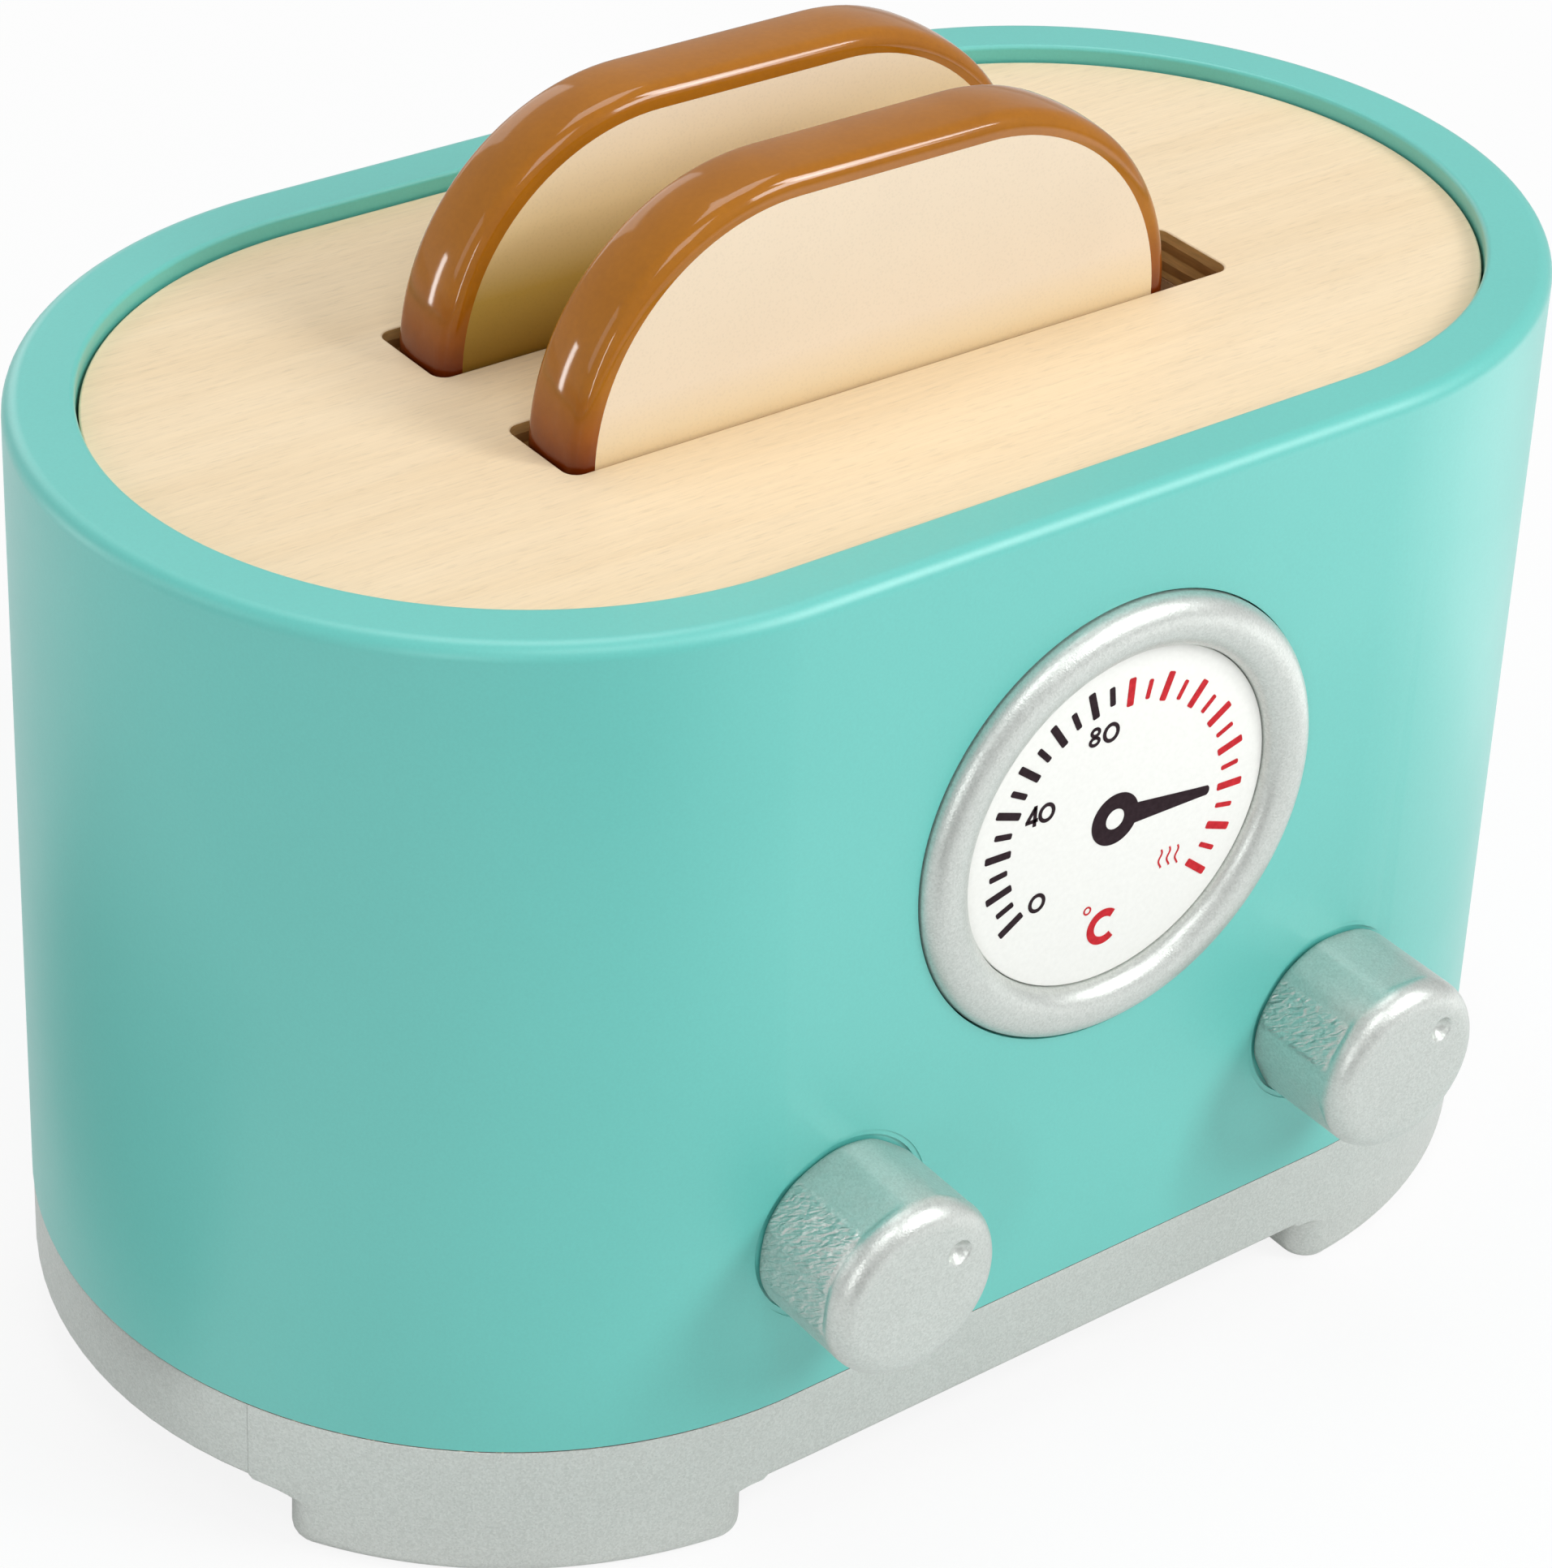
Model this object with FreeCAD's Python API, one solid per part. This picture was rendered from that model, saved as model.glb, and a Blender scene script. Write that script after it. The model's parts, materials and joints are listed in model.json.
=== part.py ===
import FreeCAD, Part
import math
import os
from FreeCAD import Vector

# Toy pop-up toaster: a racetrack-shaped wooden housing, two toast slices on a sprung
# lift, and two knobs.  Millimetres, +Z up, the front with dial and knobs faces -Y.

# ---------------------------------------------------------------- driving sizes
# Outline.  The walls lean out evenly from the rim down to the table.
rim_length = 185.0
rim_width = 108.0
top_z = 118.0
wall_lean = 2.5
base_height = 18.0
base_step_in = 0.45

# Feet: two channels cross under the base and leave a foot at each corner.
foot_height = 7.3
front_arch_length = 82.0
front_arch_centre_x = -2.6
end_arch_length = 51.0
foot_side_round = 3.5
foot_bottom_round = 2.0
base_top_round = 0.5

# Shell wall, with a rebate that carries the top plate.
rim_wall = 7.6
plate_ledge = 3.0
rim_round = 1.9
rim_inner_round = 0.5

# Top plate and its two slots.
plate_thickness = 6.0
plate_recess = 2.05
plate_gap = 0.3
plate_edge_round = 0.4
slot_length = 90.0
slot_width = 12.5
slot_pitch = 25.0
slot_centre_x = 1.5
slot_centre_y = 1.6
slot_corner_radius = 1.6

# Toast slices.
slice_width = 81.0
slice_height = 81.0
slice_thickness = 9.8
slice_top_z = 143.2
slice_shoulder_radius = 28.0
slice_foot_radius = 6.0
slice_edge_round = 2.0
slice_gap = 0.3

# Dial: a printed disc inside an arched ring, both glued into a pocket.
dial_centre_x = 2.1
dial_centre_z = 78.35
dial_radius = 20.75
dial_thickness = 2.8
dial_pocket_depth = 3.0
ring_band = 6.0
ring_crown = 2.3
ring_gap = 0.1
pocket_gap = 0.4

# Knobs: turned cylinders with milled flats that stop short of the front edge.
knob_spacing = 70.6
knob_centre_x = 1.8
knob_centre_z = 39.2
knob_radius = 10.9
knob_length = 14.4
knob_front_round = 2.6
knob_back_round = 0.6
knob_recess_depth = 1.1
knob_recess_gap = 0.6
knob_back_gap = 0.3
flat_count = 6
flat_depth = 0.45
flat_end_margin = 3.2
left_flat_angle = 113.0
right_flat_angle = 87.0
dimple_radius = 1.6
dimple_depth = 1.1
dimple_offset = 6.1
left_dimple_angle = 38.0
right_dimple_angle = 46.0

# Knob shafts, the bushes they turn in, and what holds them from inside.
shaft_radius = 3.0
shaft_seat_depth = 9.0
running_gap = 0.06
glue_gap = 0.05
bush_wall = 1.2
bush_flange_radius = 6.0
bush_flange_thickness = 1.2
shaft_end_play = 0.15
washer_thickness = 1.0
washer_radius = 5.5
keeper_thickness = 1.2
keeper_radius = 4.6
shaft_tail = 1.5

# Hold-down cam on the right shaft.
cam_hub_radius = 6.0
cam_hub_length = 8.0
cam_finger_length = 16.0
cam_finger_width = 4.4
cam_finger_thickness = 5.0
cam_clearance = 0.3
cam_tip_round = 1.4

# Lift: a platform on two bushes that slide on steel rods over springs.
platform_thickness = 6.0
platform_end_gap = 0.4
platform_front_margin = 9.0
platform_back_margin = 4.0
felt_thickness = 1.0
felt_inset = 2.5
felt_side_margin = 1.25
rod_radius = 2.5
rod_spacing = 43.0
rod_seat_depth = 6.0
rod_top_seat = 3.0
rod_top_gap = 0.3
lift_bush_wall = 1.4
lift_bush_drop = 2.8
lift_bush_flange = 1.2
lift_bush_flange_radius = 5.4
stop_ring_height = 4.0
stop_ring_radius = 4.6
stop_sleeve_wall = 1.2
stop_gap = 0.2
spring_wire = 0.9
spring_wire_sides = 12
spring_turns = 8
spring_clearance = 0.25

# Hold-down tab: a steel strip on the platform that the cam's finger passes over.
tab_width = 12.0
tab_thickness = 1.5
tab_clearance = 0.6
tab_screw_inset = 3.6
tab_screw_spacing = 6.0
tab_screw_radius = 1.2
tab_screw_depth = 5.0
tab_head_radius = 2.2
tab_head_height = 1.2

# Guide boards: grooved boards that keep both slices upright.
groove_depth = 12.0
guide_web = 5.0
guide_rib = 6.0

# Wood screws.
screw_radius = 1.75
screw_head_radius = 3.5
screw_head_depth = 2.2
screw_gap = 0.15
cross_reach = 2.1
cross_arm = 0.55
cross_depth = 1.1
base_screw_length = 32.0
base_screw_spread = 30.0
guide_screw_length = 26.0
guide_screw_spacing = 8.0

# ---------------------------------------------------------------- derived sizes
turn_reach = (rim_length - rim_width) / 2


def half_width(z):
    """Distance from the long middle line to the leaning outer wall at height z."""
    return rim_width / 2 + wall_lean * (top_z - z) / top_z


cavity_half_width = rim_width / 2 - rim_wall - plate_ledge
plate_top_z = top_z - plate_recess
ledge_z = plate_top_z - plate_thickness
front_inner_y = -cavity_half_width

slot_rows = {
    "front": slot_centre_y - slot_pitch / 2,
    "rear": slot_centre_y + slot_pitch / 2,
}
slot_left_x = slot_centre_x - slot_length / 2
slot_right_x = slot_centre_x + slot_length / 2

slice_bottom_z = slice_top_z - slice_height
slice_centre_x = slot_left_x + slice_gap + slice_width / 2

sides = {"left": -1, "right": 1}
dimple_angles = {"left": left_dimple_angle, "right": right_dimple_angle}
flat_angles = {"left": left_flat_angle, "right": right_flat_angle}
knob_front_y = -half_width(knob_centre_z) - knob_length
knob_recess_y = -half_width(knob_centre_z) + knob_recess_depth
knob_back_y = knob_recess_y - knob_back_gap
bush_radius = shaft_radius + running_gap + bush_wall
bush_inner_y = front_inner_y + bush_flange_thickness
inside_stack_y = bush_inner_y + shaft_end_play

platform_top_z = slice_bottom_z - felt_thickness
platform_bottom_z = platform_top_z - platform_thickness
platform_left_x = slot_left_x + groove_depth + platform_end_gap
platform_right_x = slot_right_x - groove_depth - platform_end_gap
platform_front_y = slot_rows["front"] - slot_width / 2 - platform_front_margin
platform_back_y = slot_rows["rear"] + slot_width / 2 + platform_back_margin
lift_bush_radius = rod_radius + running_gap + lift_bush_wall
lift_bush_bottom_z = platform_bottom_z - lift_bush_drop
lift_bush_top_z = platform_top_z + lift_bush_flange

# The lift goes down until its tab lies just under the cam's finger.
tab_top_when_down_z = knob_centre_z - cam_finger_width / 2 - cam_clearance
lift_travel = platform_top_z + tab_thickness - tab_top_when_down_z
stop_sleeve_top_z = lift_bush_bottom_z - lift_travel - stop_gap

# The solids are built about the shell's middle and then moved back together, so
# that the origin lies under the middle of the whole toaster, knobs included.
body_shift_y = -(knob_front_y + half_width(base_height)) / 2

nodes = {}


# ---------------------------------------------------------------- shape helpers
def rounded_face(corners, place):
    """Flat face with straight sides, its corners (u, v, radius) rounded by tangent arcs."""
    points = [Vector(u, v, 0) for u, v, radius in corners]
    turns = []
    for index, (u, v, radius) in enumerate(corners):
        here = points[index]
        back = (points[index - 1] - here).normalize()
        ahead = (points[(index + 1) % len(points)] - here).normalize()
        half_angle = back.getAngle(ahead) / 2
        setback = radius / math.tan(half_angle)
        inward = (back + ahead).normalize()
        middle = here + inward * (radius / math.sin(half_angle) - radius)
        turns.append((here + back * setback, middle, here + ahead * setback))
    edges = []
    for index, (start, middle, end) in enumerate(turns):
        if corners[index][2] > 0:
            arc = Part.Arc(place(start.x, start.y), place(middle.x, middle.y), place(end.x, end.y))
            edges.append(arc.toShape())
        following = turns[(index + 1) % len(turns)][0]
        if (following - end).Length > 1e-6:
            edges.append(Part.LineSegment(place(end.x, end.y), place(following.x, following.y)).toShape())
    return Part.Face(Part.Wire(edges))


def racetrack(corners):
    """Wall profile (distance from the long middle line, z, radius) carried round the outline."""
    profile = rounded_face(corners, lambda d, z: Vector(-turn_reach, -d, z))
    run = profile.extrude(Vector(2 * turn_reach, 0, 0))
    profile.translate(Vector(2 * turn_reach, 0, 0))
    turn = profile.revolve(Vector(turn_reach, 0, 0), Vector(0, 0, 1), 180)
    half = run.fuse(turn)
    other_half = half.copy()
    other_half.rotate(Vector(0, 0, 0), Vector(0, 0, 1), 180)
    return half.fuse(other_half).removeSplitter()


def turned(corners, centre_x, centre_z):
    """Solid turned about an axis along Y; corners are (radius from the axis, y, rounding)."""
    profile = rounded_face(corners, lambda r, y: Vector(centre_x + r, y, centre_z))
    return profile.revolve(Vector(centre_x, 0, centre_z), Vector(0, 1, 0), 360)


def rod_y(radius, y_start, y_end, centre_x, centre_z):
    """Plain cylinder along Y."""
    start = Vector(centre_x, y_start, centre_z)
    return Part.makeCylinder(radius, y_end - y_start, start, Vector(0, 1, 0))


def rod_z(radius, z_start, z_end, centre_x, centre_y):
    """Plain cylinder along Z."""
    return Part.makeCylinder(radius, z_end - z_start, Vector(centre_x, centre_y, z_start))


def tube_z(outer, inner, z_start, z_end, centre_x, centre_y):
    """Plain tube along Z."""
    solid = rod_z(outer, z_start, z_end, centre_x, centre_y)
    return solid.cut(rod_z(inner, z_start, z_end, centre_x, centre_y))


def block(x_range, y_range, z_range):
    """Box between two values on each axis."""
    size = [span[1] - span[0] for span in (x_range, y_range, z_range)]
    return Part.makeBox(size[0], size[1], size[2], Vector(x_range[0], y_range[0], z_range[0]))


def edges_where(shape, wanted):
    """Edges whose middle point satisfies a test."""
    found = []
    for edge in shape.Edges:
        middle = edge.valueAt((edge.FirstParameter + edge.LastParameter) / 2)
        if wanted(edge, middle):
            found.append(edge)
    return found


def is_upright(edge):
    """True for a straight edge that runs mostly along Z."""
    ends = [vertex.Point for vertex in edge.Vertexes]
    if len(ends) < 2:
        return False
    run = ends[1] - ends[0]
    return abs(run.z) > 0.9 * run.Length and abs(run.Length - edge.Length) < 0.01


def knob_x(side):
    """Axis of one knob."""
    return knob_centre_x + sides[side] * knob_spacing / 2


def rod_x(side):
    """Axis of one lift rod."""
    return slot_centre_x + sides[side] * rod_spacing / 2


# ---------------------------------------------------------------- screws
def base_screw_places():
    """Four screws along the straight walls and one at each rounded end."""
    wall_middle = (half_width(base_height) + cavity_half_width) / 2
    places = []
    for x_side in (-1, 1):
        places.append((x_side * (turn_reach + wall_middle), 0.0))
        for y_side in (-1, 1):
            places.append((x_side * base_screw_spread / 2, y_side * wall_middle))
    return places


def guide_board_x(side):
    """Inner and outer face of one guide board."""
    if side == "left":
        return slot_left_x - guide_web, slot_left_x + groove_depth
    return slot_right_x - groove_depth, slot_right_x + guide_web


def guide_screw_places():
    """Two screws into the middle rib of each guide board."""
    places = []
    for side in sides:
        middle = sum(guide_board_x(side)) / 2
        for step in (-1, 1):
            places.append((middle + step * guide_screw_spacing / 2, slot_centre_y))
    return places


def wood_screw(x, y, length, gap=0.0):
    """Countersunk screw pointing up from the underside of the base, or the hole for it."""
    profile = [
        Vector(0, 0, 0),
        Vector(screw_head_radius + gap, 0, 0),
        Vector(screw_radius + gap, 0, screw_head_depth),
        Vector(screw_radius + gap, 0, length + gap),
        Vector(0, 0, length + gap),
        Vector(0, 0, 0),
    ]
    screw = Part.Face(Part.makePolygon(profile)).revolve(Vector(0, 0, 0), Vector(0, 0, 1), 360)
    screw.translate(Vector(x, y, foot_height))
    return screw


def cut_screw_holes(shape, gap):
    """Holes for every wood screw that passes through a piece."""
    for x, y in base_screw_places():
        shape = shape.cut(wood_screw(x, y, base_screw_length, gap))
    for x, y in guide_screw_places():
        shape = shape.cut(wood_screw(x, y, guide_screw_length, gap))
    return shape


def drive_slot(x, y):
    """Cross slot cut into a screw head from below."""
    depth = (foot_height, foot_height + cross_depth)
    along = block((x - cross_reach, x + cross_reach), (y - cross_arm, y + cross_arm), depth)
    across = block((x - cross_arm, x + cross_arm), (y - cross_reach, y + cross_reach), depth)
    return along.fuse(across)


def screw_group(places, length):
    """Identical screws, as separate solids."""
    return Part.makeCompound([wood_screw(x, y, length).cut(drive_slot(x, y)) for x, y in places])


# ---------------------------------------------------------------- housing
def body_shell():
    """Painted ring with leaning outer wall, plate rebate, dial pocket and knob holes."""
    rim_inner = rim_width / 2 - rim_wall
    shell = racetrack([
        (half_width(base_height), base_height, 0),
        (rim_width / 2, top_z, rim_round),
        (rim_inner, top_z, rim_inner_round),
        (rim_inner, ledge_z, 0),
        (cavity_half_width, ledge_z, 0),
        (cavity_half_width, base_height, 0),
    ])
    pocket_radius = dial_radius + ring_gap + ring_band + pocket_gap
    outside_y = -half_width(0)
    shell = shell.cut(rod_y(pocket_radius, outside_y, dial_pocket_floor(), dial_centre_x, dial_centre_z))
    for side in sides:
        recess_radius = knob_radius + knob_recess_gap
        recess = rod_y(recess_radius, outside_y, knob_recess_y, knob_x(side), knob_centre_z)
        bush_hole = rod_y(bush_radius + glue_gap, outside_y, front_inner_y, knob_x(side), knob_centre_z)
        flange_seat = rod_y(bush_flange_radius + glue_gap, front_inner_y, inside_stack_y,
                            knob_x(side), knob_centre_z)
        shell = shell.cut(recess).cut(bush_hole).cut(flange_seat)
    return cut_screw_holes(shell, glue_gap)


def dial_pocket_floor():
    """Y of the flat floor of the dial pocket."""
    return -half_width(dial_centre_z) + dial_pocket_depth


def foot(x_side, y_side, outline):
    """One corner foot, cut from the outline, with its sides and bottom rounded."""
    arch_x = front_arch_centre_x + x_side * front_arch_length / 2
    far_x = x_side * rim_length
    arch_y = y_side * end_arch_length / 2
    far_y = y_side * rim_width
    quarter = block(sorted((arch_x, far_x)), sorted((arch_y, far_y)), (0, foot_height))
    shape = outline.common(quarter)

    def is_side_edge(edge, middle):
        on_cut = abs(middle.x - arch_x) < 0.01 or abs(middle.y - arch_y) < 0.01
        return is_upright(edge) and on_cut

    shape = shape.makeFillet(foot_side_round, edges_where(shape, is_side_edge))
    bottom = edges_where(shape, lambda edge, middle: abs(middle.z) < 0.01)
    return shape.makeFillet(foot_bottom_round, bottom)


def base_outline(z_low, z_high, top_round):
    """Plain slab that follows the leaning outline, stepped in from the shell."""
    return racetrack([
        (0, z_low, 0),
        (half_width(z_low) - base_step_in, z_low, 0),
        (half_width(z_high) - base_step_in, z_high, top_round),
        (0, z_high, 0),
    ])


def base_plinth():
    """Slab on four feet, with seats for the lift rods and holes for the screws."""
    outline = base_outline(0, foot_height, 0)
    base = base_outline(foot_height, base_height, base_top_round)
    for x_side in (-1, 1):
        for y_side in (-1, 1):
            base = base.fuse(foot(x_side, y_side, outline))
    base = base.removeSplitter()
    for side in sides:
        seat = rod_z(rod_radius + glue_gap, base_height - rod_seat_depth, base_height,
                     rod_x(side), slot_centre_y)
        base = base.cut(seat)
    return cut_screw_holes(base, screw_gap)


def slot_cutter(row_y):
    """Rounded rectangular slot through the top plate."""
    half = slot_width / 2
    corners = [
        (slot_left_x, row_y - half, slot_corner_radius),
        (slot_right_x, row_y - half, slot_corner_radius),
        (slot_right_x, row_y + half, slot_corner_radius),
        (slot_left_x, row_y + half, slot_corner_radius),
    ]
    face = rounded_face(corners, lambda x, y: Vector(x, y, ledge_z))
    return face.extrude(Vector(0, 0, plate_thickness))


def top_plate():
    """Plywood plate that lies in the shell's rebate."""
    edge = rim_width / 2 - rim_wall - plate_gap
    plate = racetrack([
        (0, ledge_z, 0),
        (edge, ledge_z, 0),
        (edge, plate_top_z, plate_edge_round),
        (0, plate_top_z, 0),
    ])
    for row_y in slot_rows.values():
        plate = plate.cut(slot_cutter(row_y))
    for side in sides:
        seat = rod_z(rod_radius + glue_gap, ledge_z, ledge_z + rod_top_seat, rod_x(side), slot_centre_y)
        plate = plate.cut(seat)
    return plate


def dial_face():
    """Printed disc, its face level with the wall around it."""
    floor_y = dial_pocket_floor()
    return rod_y(dial_radius, floor_y - dial_thickness, floor_y, dial_centre_x, dial_centre_z)


def bezel_ring():
    """Wooden ring with an arched front, standing round the disc."""
    inner = dial_radius + ring_gap
    outer = inner + ring_band
    middle = (inner + outer) / 2
    floor_y = dial_pocket_floor()
    crown_y = floor_y - dial_thickness

    def at(radius, y):
        return Vector(dial_centre_x + radius, y, dial_centre_z)

    edges = [
        Part.LineSegment(at(inner, crown_y), at(inner, floor_y)).toShape(),
        Part.LineSegment(at(inner, floor_y), at(outer, floor_y)).toShape(),
        Part.LineSegment(at(outer, floor_y), at(outer, crown_y)).toShape(),
        Part.Arc(at(outer, crown_y), at(middle, crown_y - ring_crown), at(inner, crown_y)).toShape(),
    ]
    section = Part.Face(Part.Wire(edges))
    return section.revolve(Vector(dial_centre_x, 0, dial_centre_z), Vector(0, 1, 0), 360)


def guide_board(side):
    """Upright board with one groove for the edge of each slice."""
    x_low, x_high = guide_board_x(side)
    front = slot_rows["front"] - slot_width / 2 - guide_rib
    back = slot_rows["rear"] + slot_width / 2 + guide_rib
    board = block((x_low, x_high), (front, back), (base_height, ledge_z))
    groove_x = (slot_left_x, x_high) if side == "left" else (x_low, slot_right_x)
    for row_y in slot_rows.values():
        groove_y = (row_y - slot_width / 2, row_y + slot_width / 2)
        board = board.cut(block(groove_x, groove_y, (base_height, ledge_z)))
    return cut_screw_holes(board, glue_gap)


def guide_rod(side):
    """Steel rod that the lift slides on."""
    top = ledge_z + rod_top_seat - rod_top_gap
    return rod_z(rod_radius, base_height - rod_seat_depth, top, rod_x(side), slot_centre_y)


def stop_sleeve(side):
    """Sleeve on the rod that ends the lift's way down."""
    inner = rod_radius + glue_gap
    outer = inner + stop_sleeve_wall
    return tube_z(outer, inner, base_height, stop_sleeve_top_z, rod_x(side), slot_centre_y)


def stop_ring(side):
    """Ring fixed on the rod that ends the lift's way up."""
    bottom = lift_bush_top_z + stop_gap
    inner = rod_radius + glue_gap
    return tube_z(stop_ring_radius, inner, bottom, bottom + stop_ring_height, rod_x(side), slot_centre_y)


def lift_spring(side):
    """Compression spring between base and platform, round the rod and its bushes."""
    radius = lift_bush_radius + spring_clearance + spring_wire / 2
    height = platform_bottom_z - base_height - spring_wire
    path = Part.makeHelix(height / spring_turns, height, radius)
    coil = path.Edges[0]
    start = coil.valueAt(coil.FirstParameter)
    along = coil.tangentAt(coil.FirstParameter)
    outward = Vector(1, 0, 0)
    upward = along.cross(outward).normalize()
    section = []
    for index in range(spring_wire_sides + 1):
        angle = 2 * math.pi * index / spring_wire_sides
        offset = outward * math.cos(angle) + upward * math.sin(angle)
        section.append(start + offset * (spring_wire / 2))
    spring = Part.Wire(path.Edges).makePipeShell([Part.makePolygon(section)], True, True)
    spring.translate(Vector(rod_x(side), slot_centre_y, base_height + spring_wire / 2))
    return spring


def knob_bush(side):
    """Flanged bush in the wall, flange inside."""
    centre = knob_x(side)
    bush = rod_y(bush_radius, knob_recess_y, bush_inner_y, centre, knob_centre_z)
    flange = rod_y(bush_flange_radius, front_inner_y, bush_inner_y, centre, knob_centre_z)
    bore = rod_y(shaft_radius + running_gap, knob_recess_y, bush_inner_y, centre, knob_centre_z)
    return bush.fuse(flange).cut(bore).removeSplitter()


# ---------------------------------------------------------------- knobs
def knob(side):
    """Turned knob with milled flats, a marking dimple and a blind bore for its shaft."""
    centre = knob_x(side)
    body = turned([
        (0, knob_back_y, 0),
        (knob_radius, knob_back_y, knob_back_round),
        (knob_radius, knob_front_y, knob_front_round),
        (0, knob_front_y, 0),
    ], centre, knob_centre_z)
    flat_end_y = knob_front_y + flat_end_margin
    axis_foot = Vector(centre, 0, knob_centre_z)
    for index in range(flat_count):
        angle = flat_angles[side] + index * 360 / flat_count
        chip = block(
            (centre + knob_radius - flat_depth, centre + 2 * knob_radius),
            (flat_end_y, 0),
            (knob_centre_z - knob_radius, knob_centre_z + knob_radius),
        )
        chip.rotate(axis_foot, Vector(0, -1, 0), angle)
        body = body.cut(chip)
    turn = math.radians(dimple_angles[side])
    ball_radius = (dimple_radius ** 2 + dimple_depth ** 2) / (2 * dimple_depth)
    ball = Part.makeSphere(ball_radius, Vector(
        centre + dimple_offset * math.cos(turn),
        knob_front_y - ball_radius + dimple_depth,
        knob_centre_z + dimple_offset * math.sin(turn),
    ))
    bore = rod_y(shaft_radius + glue_gap, knob_back_y - shaft_seat_depth, knob_back_y,
                 centre, knob_centre_z)
    return body.cut(ball).cut(bore)


def stack_end_y(side):
    """Inner end of what turns with a knob behind its bush."""
    if side == "left":
        return inside_stack_y + washer_thickness
    return inside_stack_y + cam_hub_length


def knob_shaft(side):
    """Shaft glued into the knob and carried by the bush."""
    tail_y = stack_end_y(side) + keeper_thickness + shaft_tail
    return rod_y(shaft_radius, knob_back_y - shaft_seat_depth, tail_y, knob_x(side), knob_centre_z)


def collar(radius, y_start, y_end, side):
    """Ring that sits on a knob shaft."""
    ring = rod_y(radius, y_start, y_end, knob_x(side), knob_centre_z)
    return ring.cut(rod_y(shaft_radius + glue_gap, y_start, y_end, knob_x(side), knob_centre_z))


def knob_keeper(side):
    """Push-on ring that keeps a shaft from pulling out."""
    start = stack_end_y(side)
    return collar(keeper_radius, start, start + keeper_thickness, side)


def knob_washer():
    """Felt washer that lets the left knob turn without rattling."""
    return collar(washer_radius, inside_stack_y, stack_end_y("left"), "left")


def hold_down_cam():
    """Hub with a finger that stands up at rest and lies over the tab when turned."""
    centre = knob_x("right")
    hub = rod_y(cam_hub_radius, inside_stack_y, stack_end_y("right"), centre, knob_centre_z)
    finger_y = inside_stack_y + (cam_hub_length - cam_finger_thickness) / 2
    finger = block(
        (centre - cam_finger_width / 2, centre + cam_finger_width / 2),
        (finger_y, finger_y + cam_finger_thickness),
        (knob_centre_z, knob_centre_z + cam_finger_length),
    )
    tip = edges_where(finger, lambda edge, middle: (
        abs(middle.z - knob_centre_z - cam_finger_length) < 0.01
        and abs(abs(middle.x - centre) - cam_finger_width / 2) < 0.01))
    finger = finger.makeFillet(cam_tip_round, tip)
    bore = rod_y(shaft_radius + glue_gap, inside_stack_y, stack_end_y("right"), centre, knob_centre_z)
    return hub.fuse(finger).cut(bore).removeSplitter()


# ---------------------------------------------------------------- lift
def lift_platform():
    """Board under both slices."""
    board = block(
        (platform_left_x, platform_right_x),
        (platform_front_y, platform_back_y),
        (platform_bottom_z, platform_top_z),
    )
    for side in sides:
        hole = rod_z(lift_bush_radius + glue_gap, platform_bottom_z, platform_top_z,
                     rod_x(side), slot_centre_y)
        board = board.cut(hole)
    for x, y in tab_screw_places():
        pilot = rod_z(tab_screw_radius + glue_gap, platform_top_z - tab_screw_depth, platform_top_z, x, y)
        board = board.cut(pilot)
    return board


def lift_bush(side):
    """Flanged bush that slides on a rod and meets the stops."""
    x = rod_x(side)
    bush = rod_z(lift_bush_radius, lift_bush_bottom_z, lift_bush_top_z, x, slot_centre_y)
    flange = rod_z(lift_bush_flange_radius, platform_top_z, lift_bush_top_z, x, slot_centre_y)
    bore = rod_z(rod_radius + running_gap, lift_bush_bottom_z, lift_bush_top_z, x, slot_centre_y)
    return bush.fuse(flange).cut(bore).removeSplitter()


def felt_strips():
    """Two felt strips that the slices stand on."""
    half = slice_thickness / 2 - felt_side_margin
    strips = []
    for row_y in slot_rows.values():
        middle = row_y - slot_width / 2 + slice_gap + slice_thickness / 2
        strips.append(block(
            (platform_left_x + felt_inset, platform_right_x - felt_inset),
            (middle - half, middle + half),
            (platform_top_z, platform_top_z + felt_thickness),
        ))
    return Part.makeCompound(strips)


def tab_right_x():
    """Right edge of the tab, just clear of the cam's hub."""
    return knob_x("right") - cam_hub_radius - tab_clearance


def tab_back_y():
    """Back edge of the tab, in front of the front slice."""
    return slot_rows["front"] - slot_width / 2 - tab_clearance


def tab_screw_places():
    """Two small screws that hold the tab."""
    middle = tab_right_x() - tab_width / 2
    y = tab_back_y() - tab_screw_inset
    return [(middle + step * tab_screw_spacing / 2, y) for step in (-1, 1)]


def hold_down_tab():
    """Steel strip that reaches forward under the cam's finger."""
    front_y = inside_stack_y + tab_clearance
    tab = block(
        (tab_right_x() - tab_width, tab_right_x()),
        (front_y, tab_back_y()),
        (platform_top_z, platform_top_z + tab_thickness),
    )
    for x, y in tab_screw_places():
        hole = rod_z(tab_screw_radius + glue_gap, platform_top_z, platform_top_z + tab_thickness, x, y)
        tab = tab.cut(hole)
    return tab


def tab_screws():
    """Round-headed screws of the tab."""
    screws = []
    under_head = platform_top_z + tab_thickness
    for x, y in tab_screw_places():
        shank = rod_z(tab_screw_radius, platform_top_z - tab_screw_depth, under_head, x, y)
        head = rod_z(tab_head_radius, under_head, under_head + tab_head_height, x, y)
        screws.append(shank.fuse(head).removeSplitter())
    return Part.makeCompound(screws)


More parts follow.
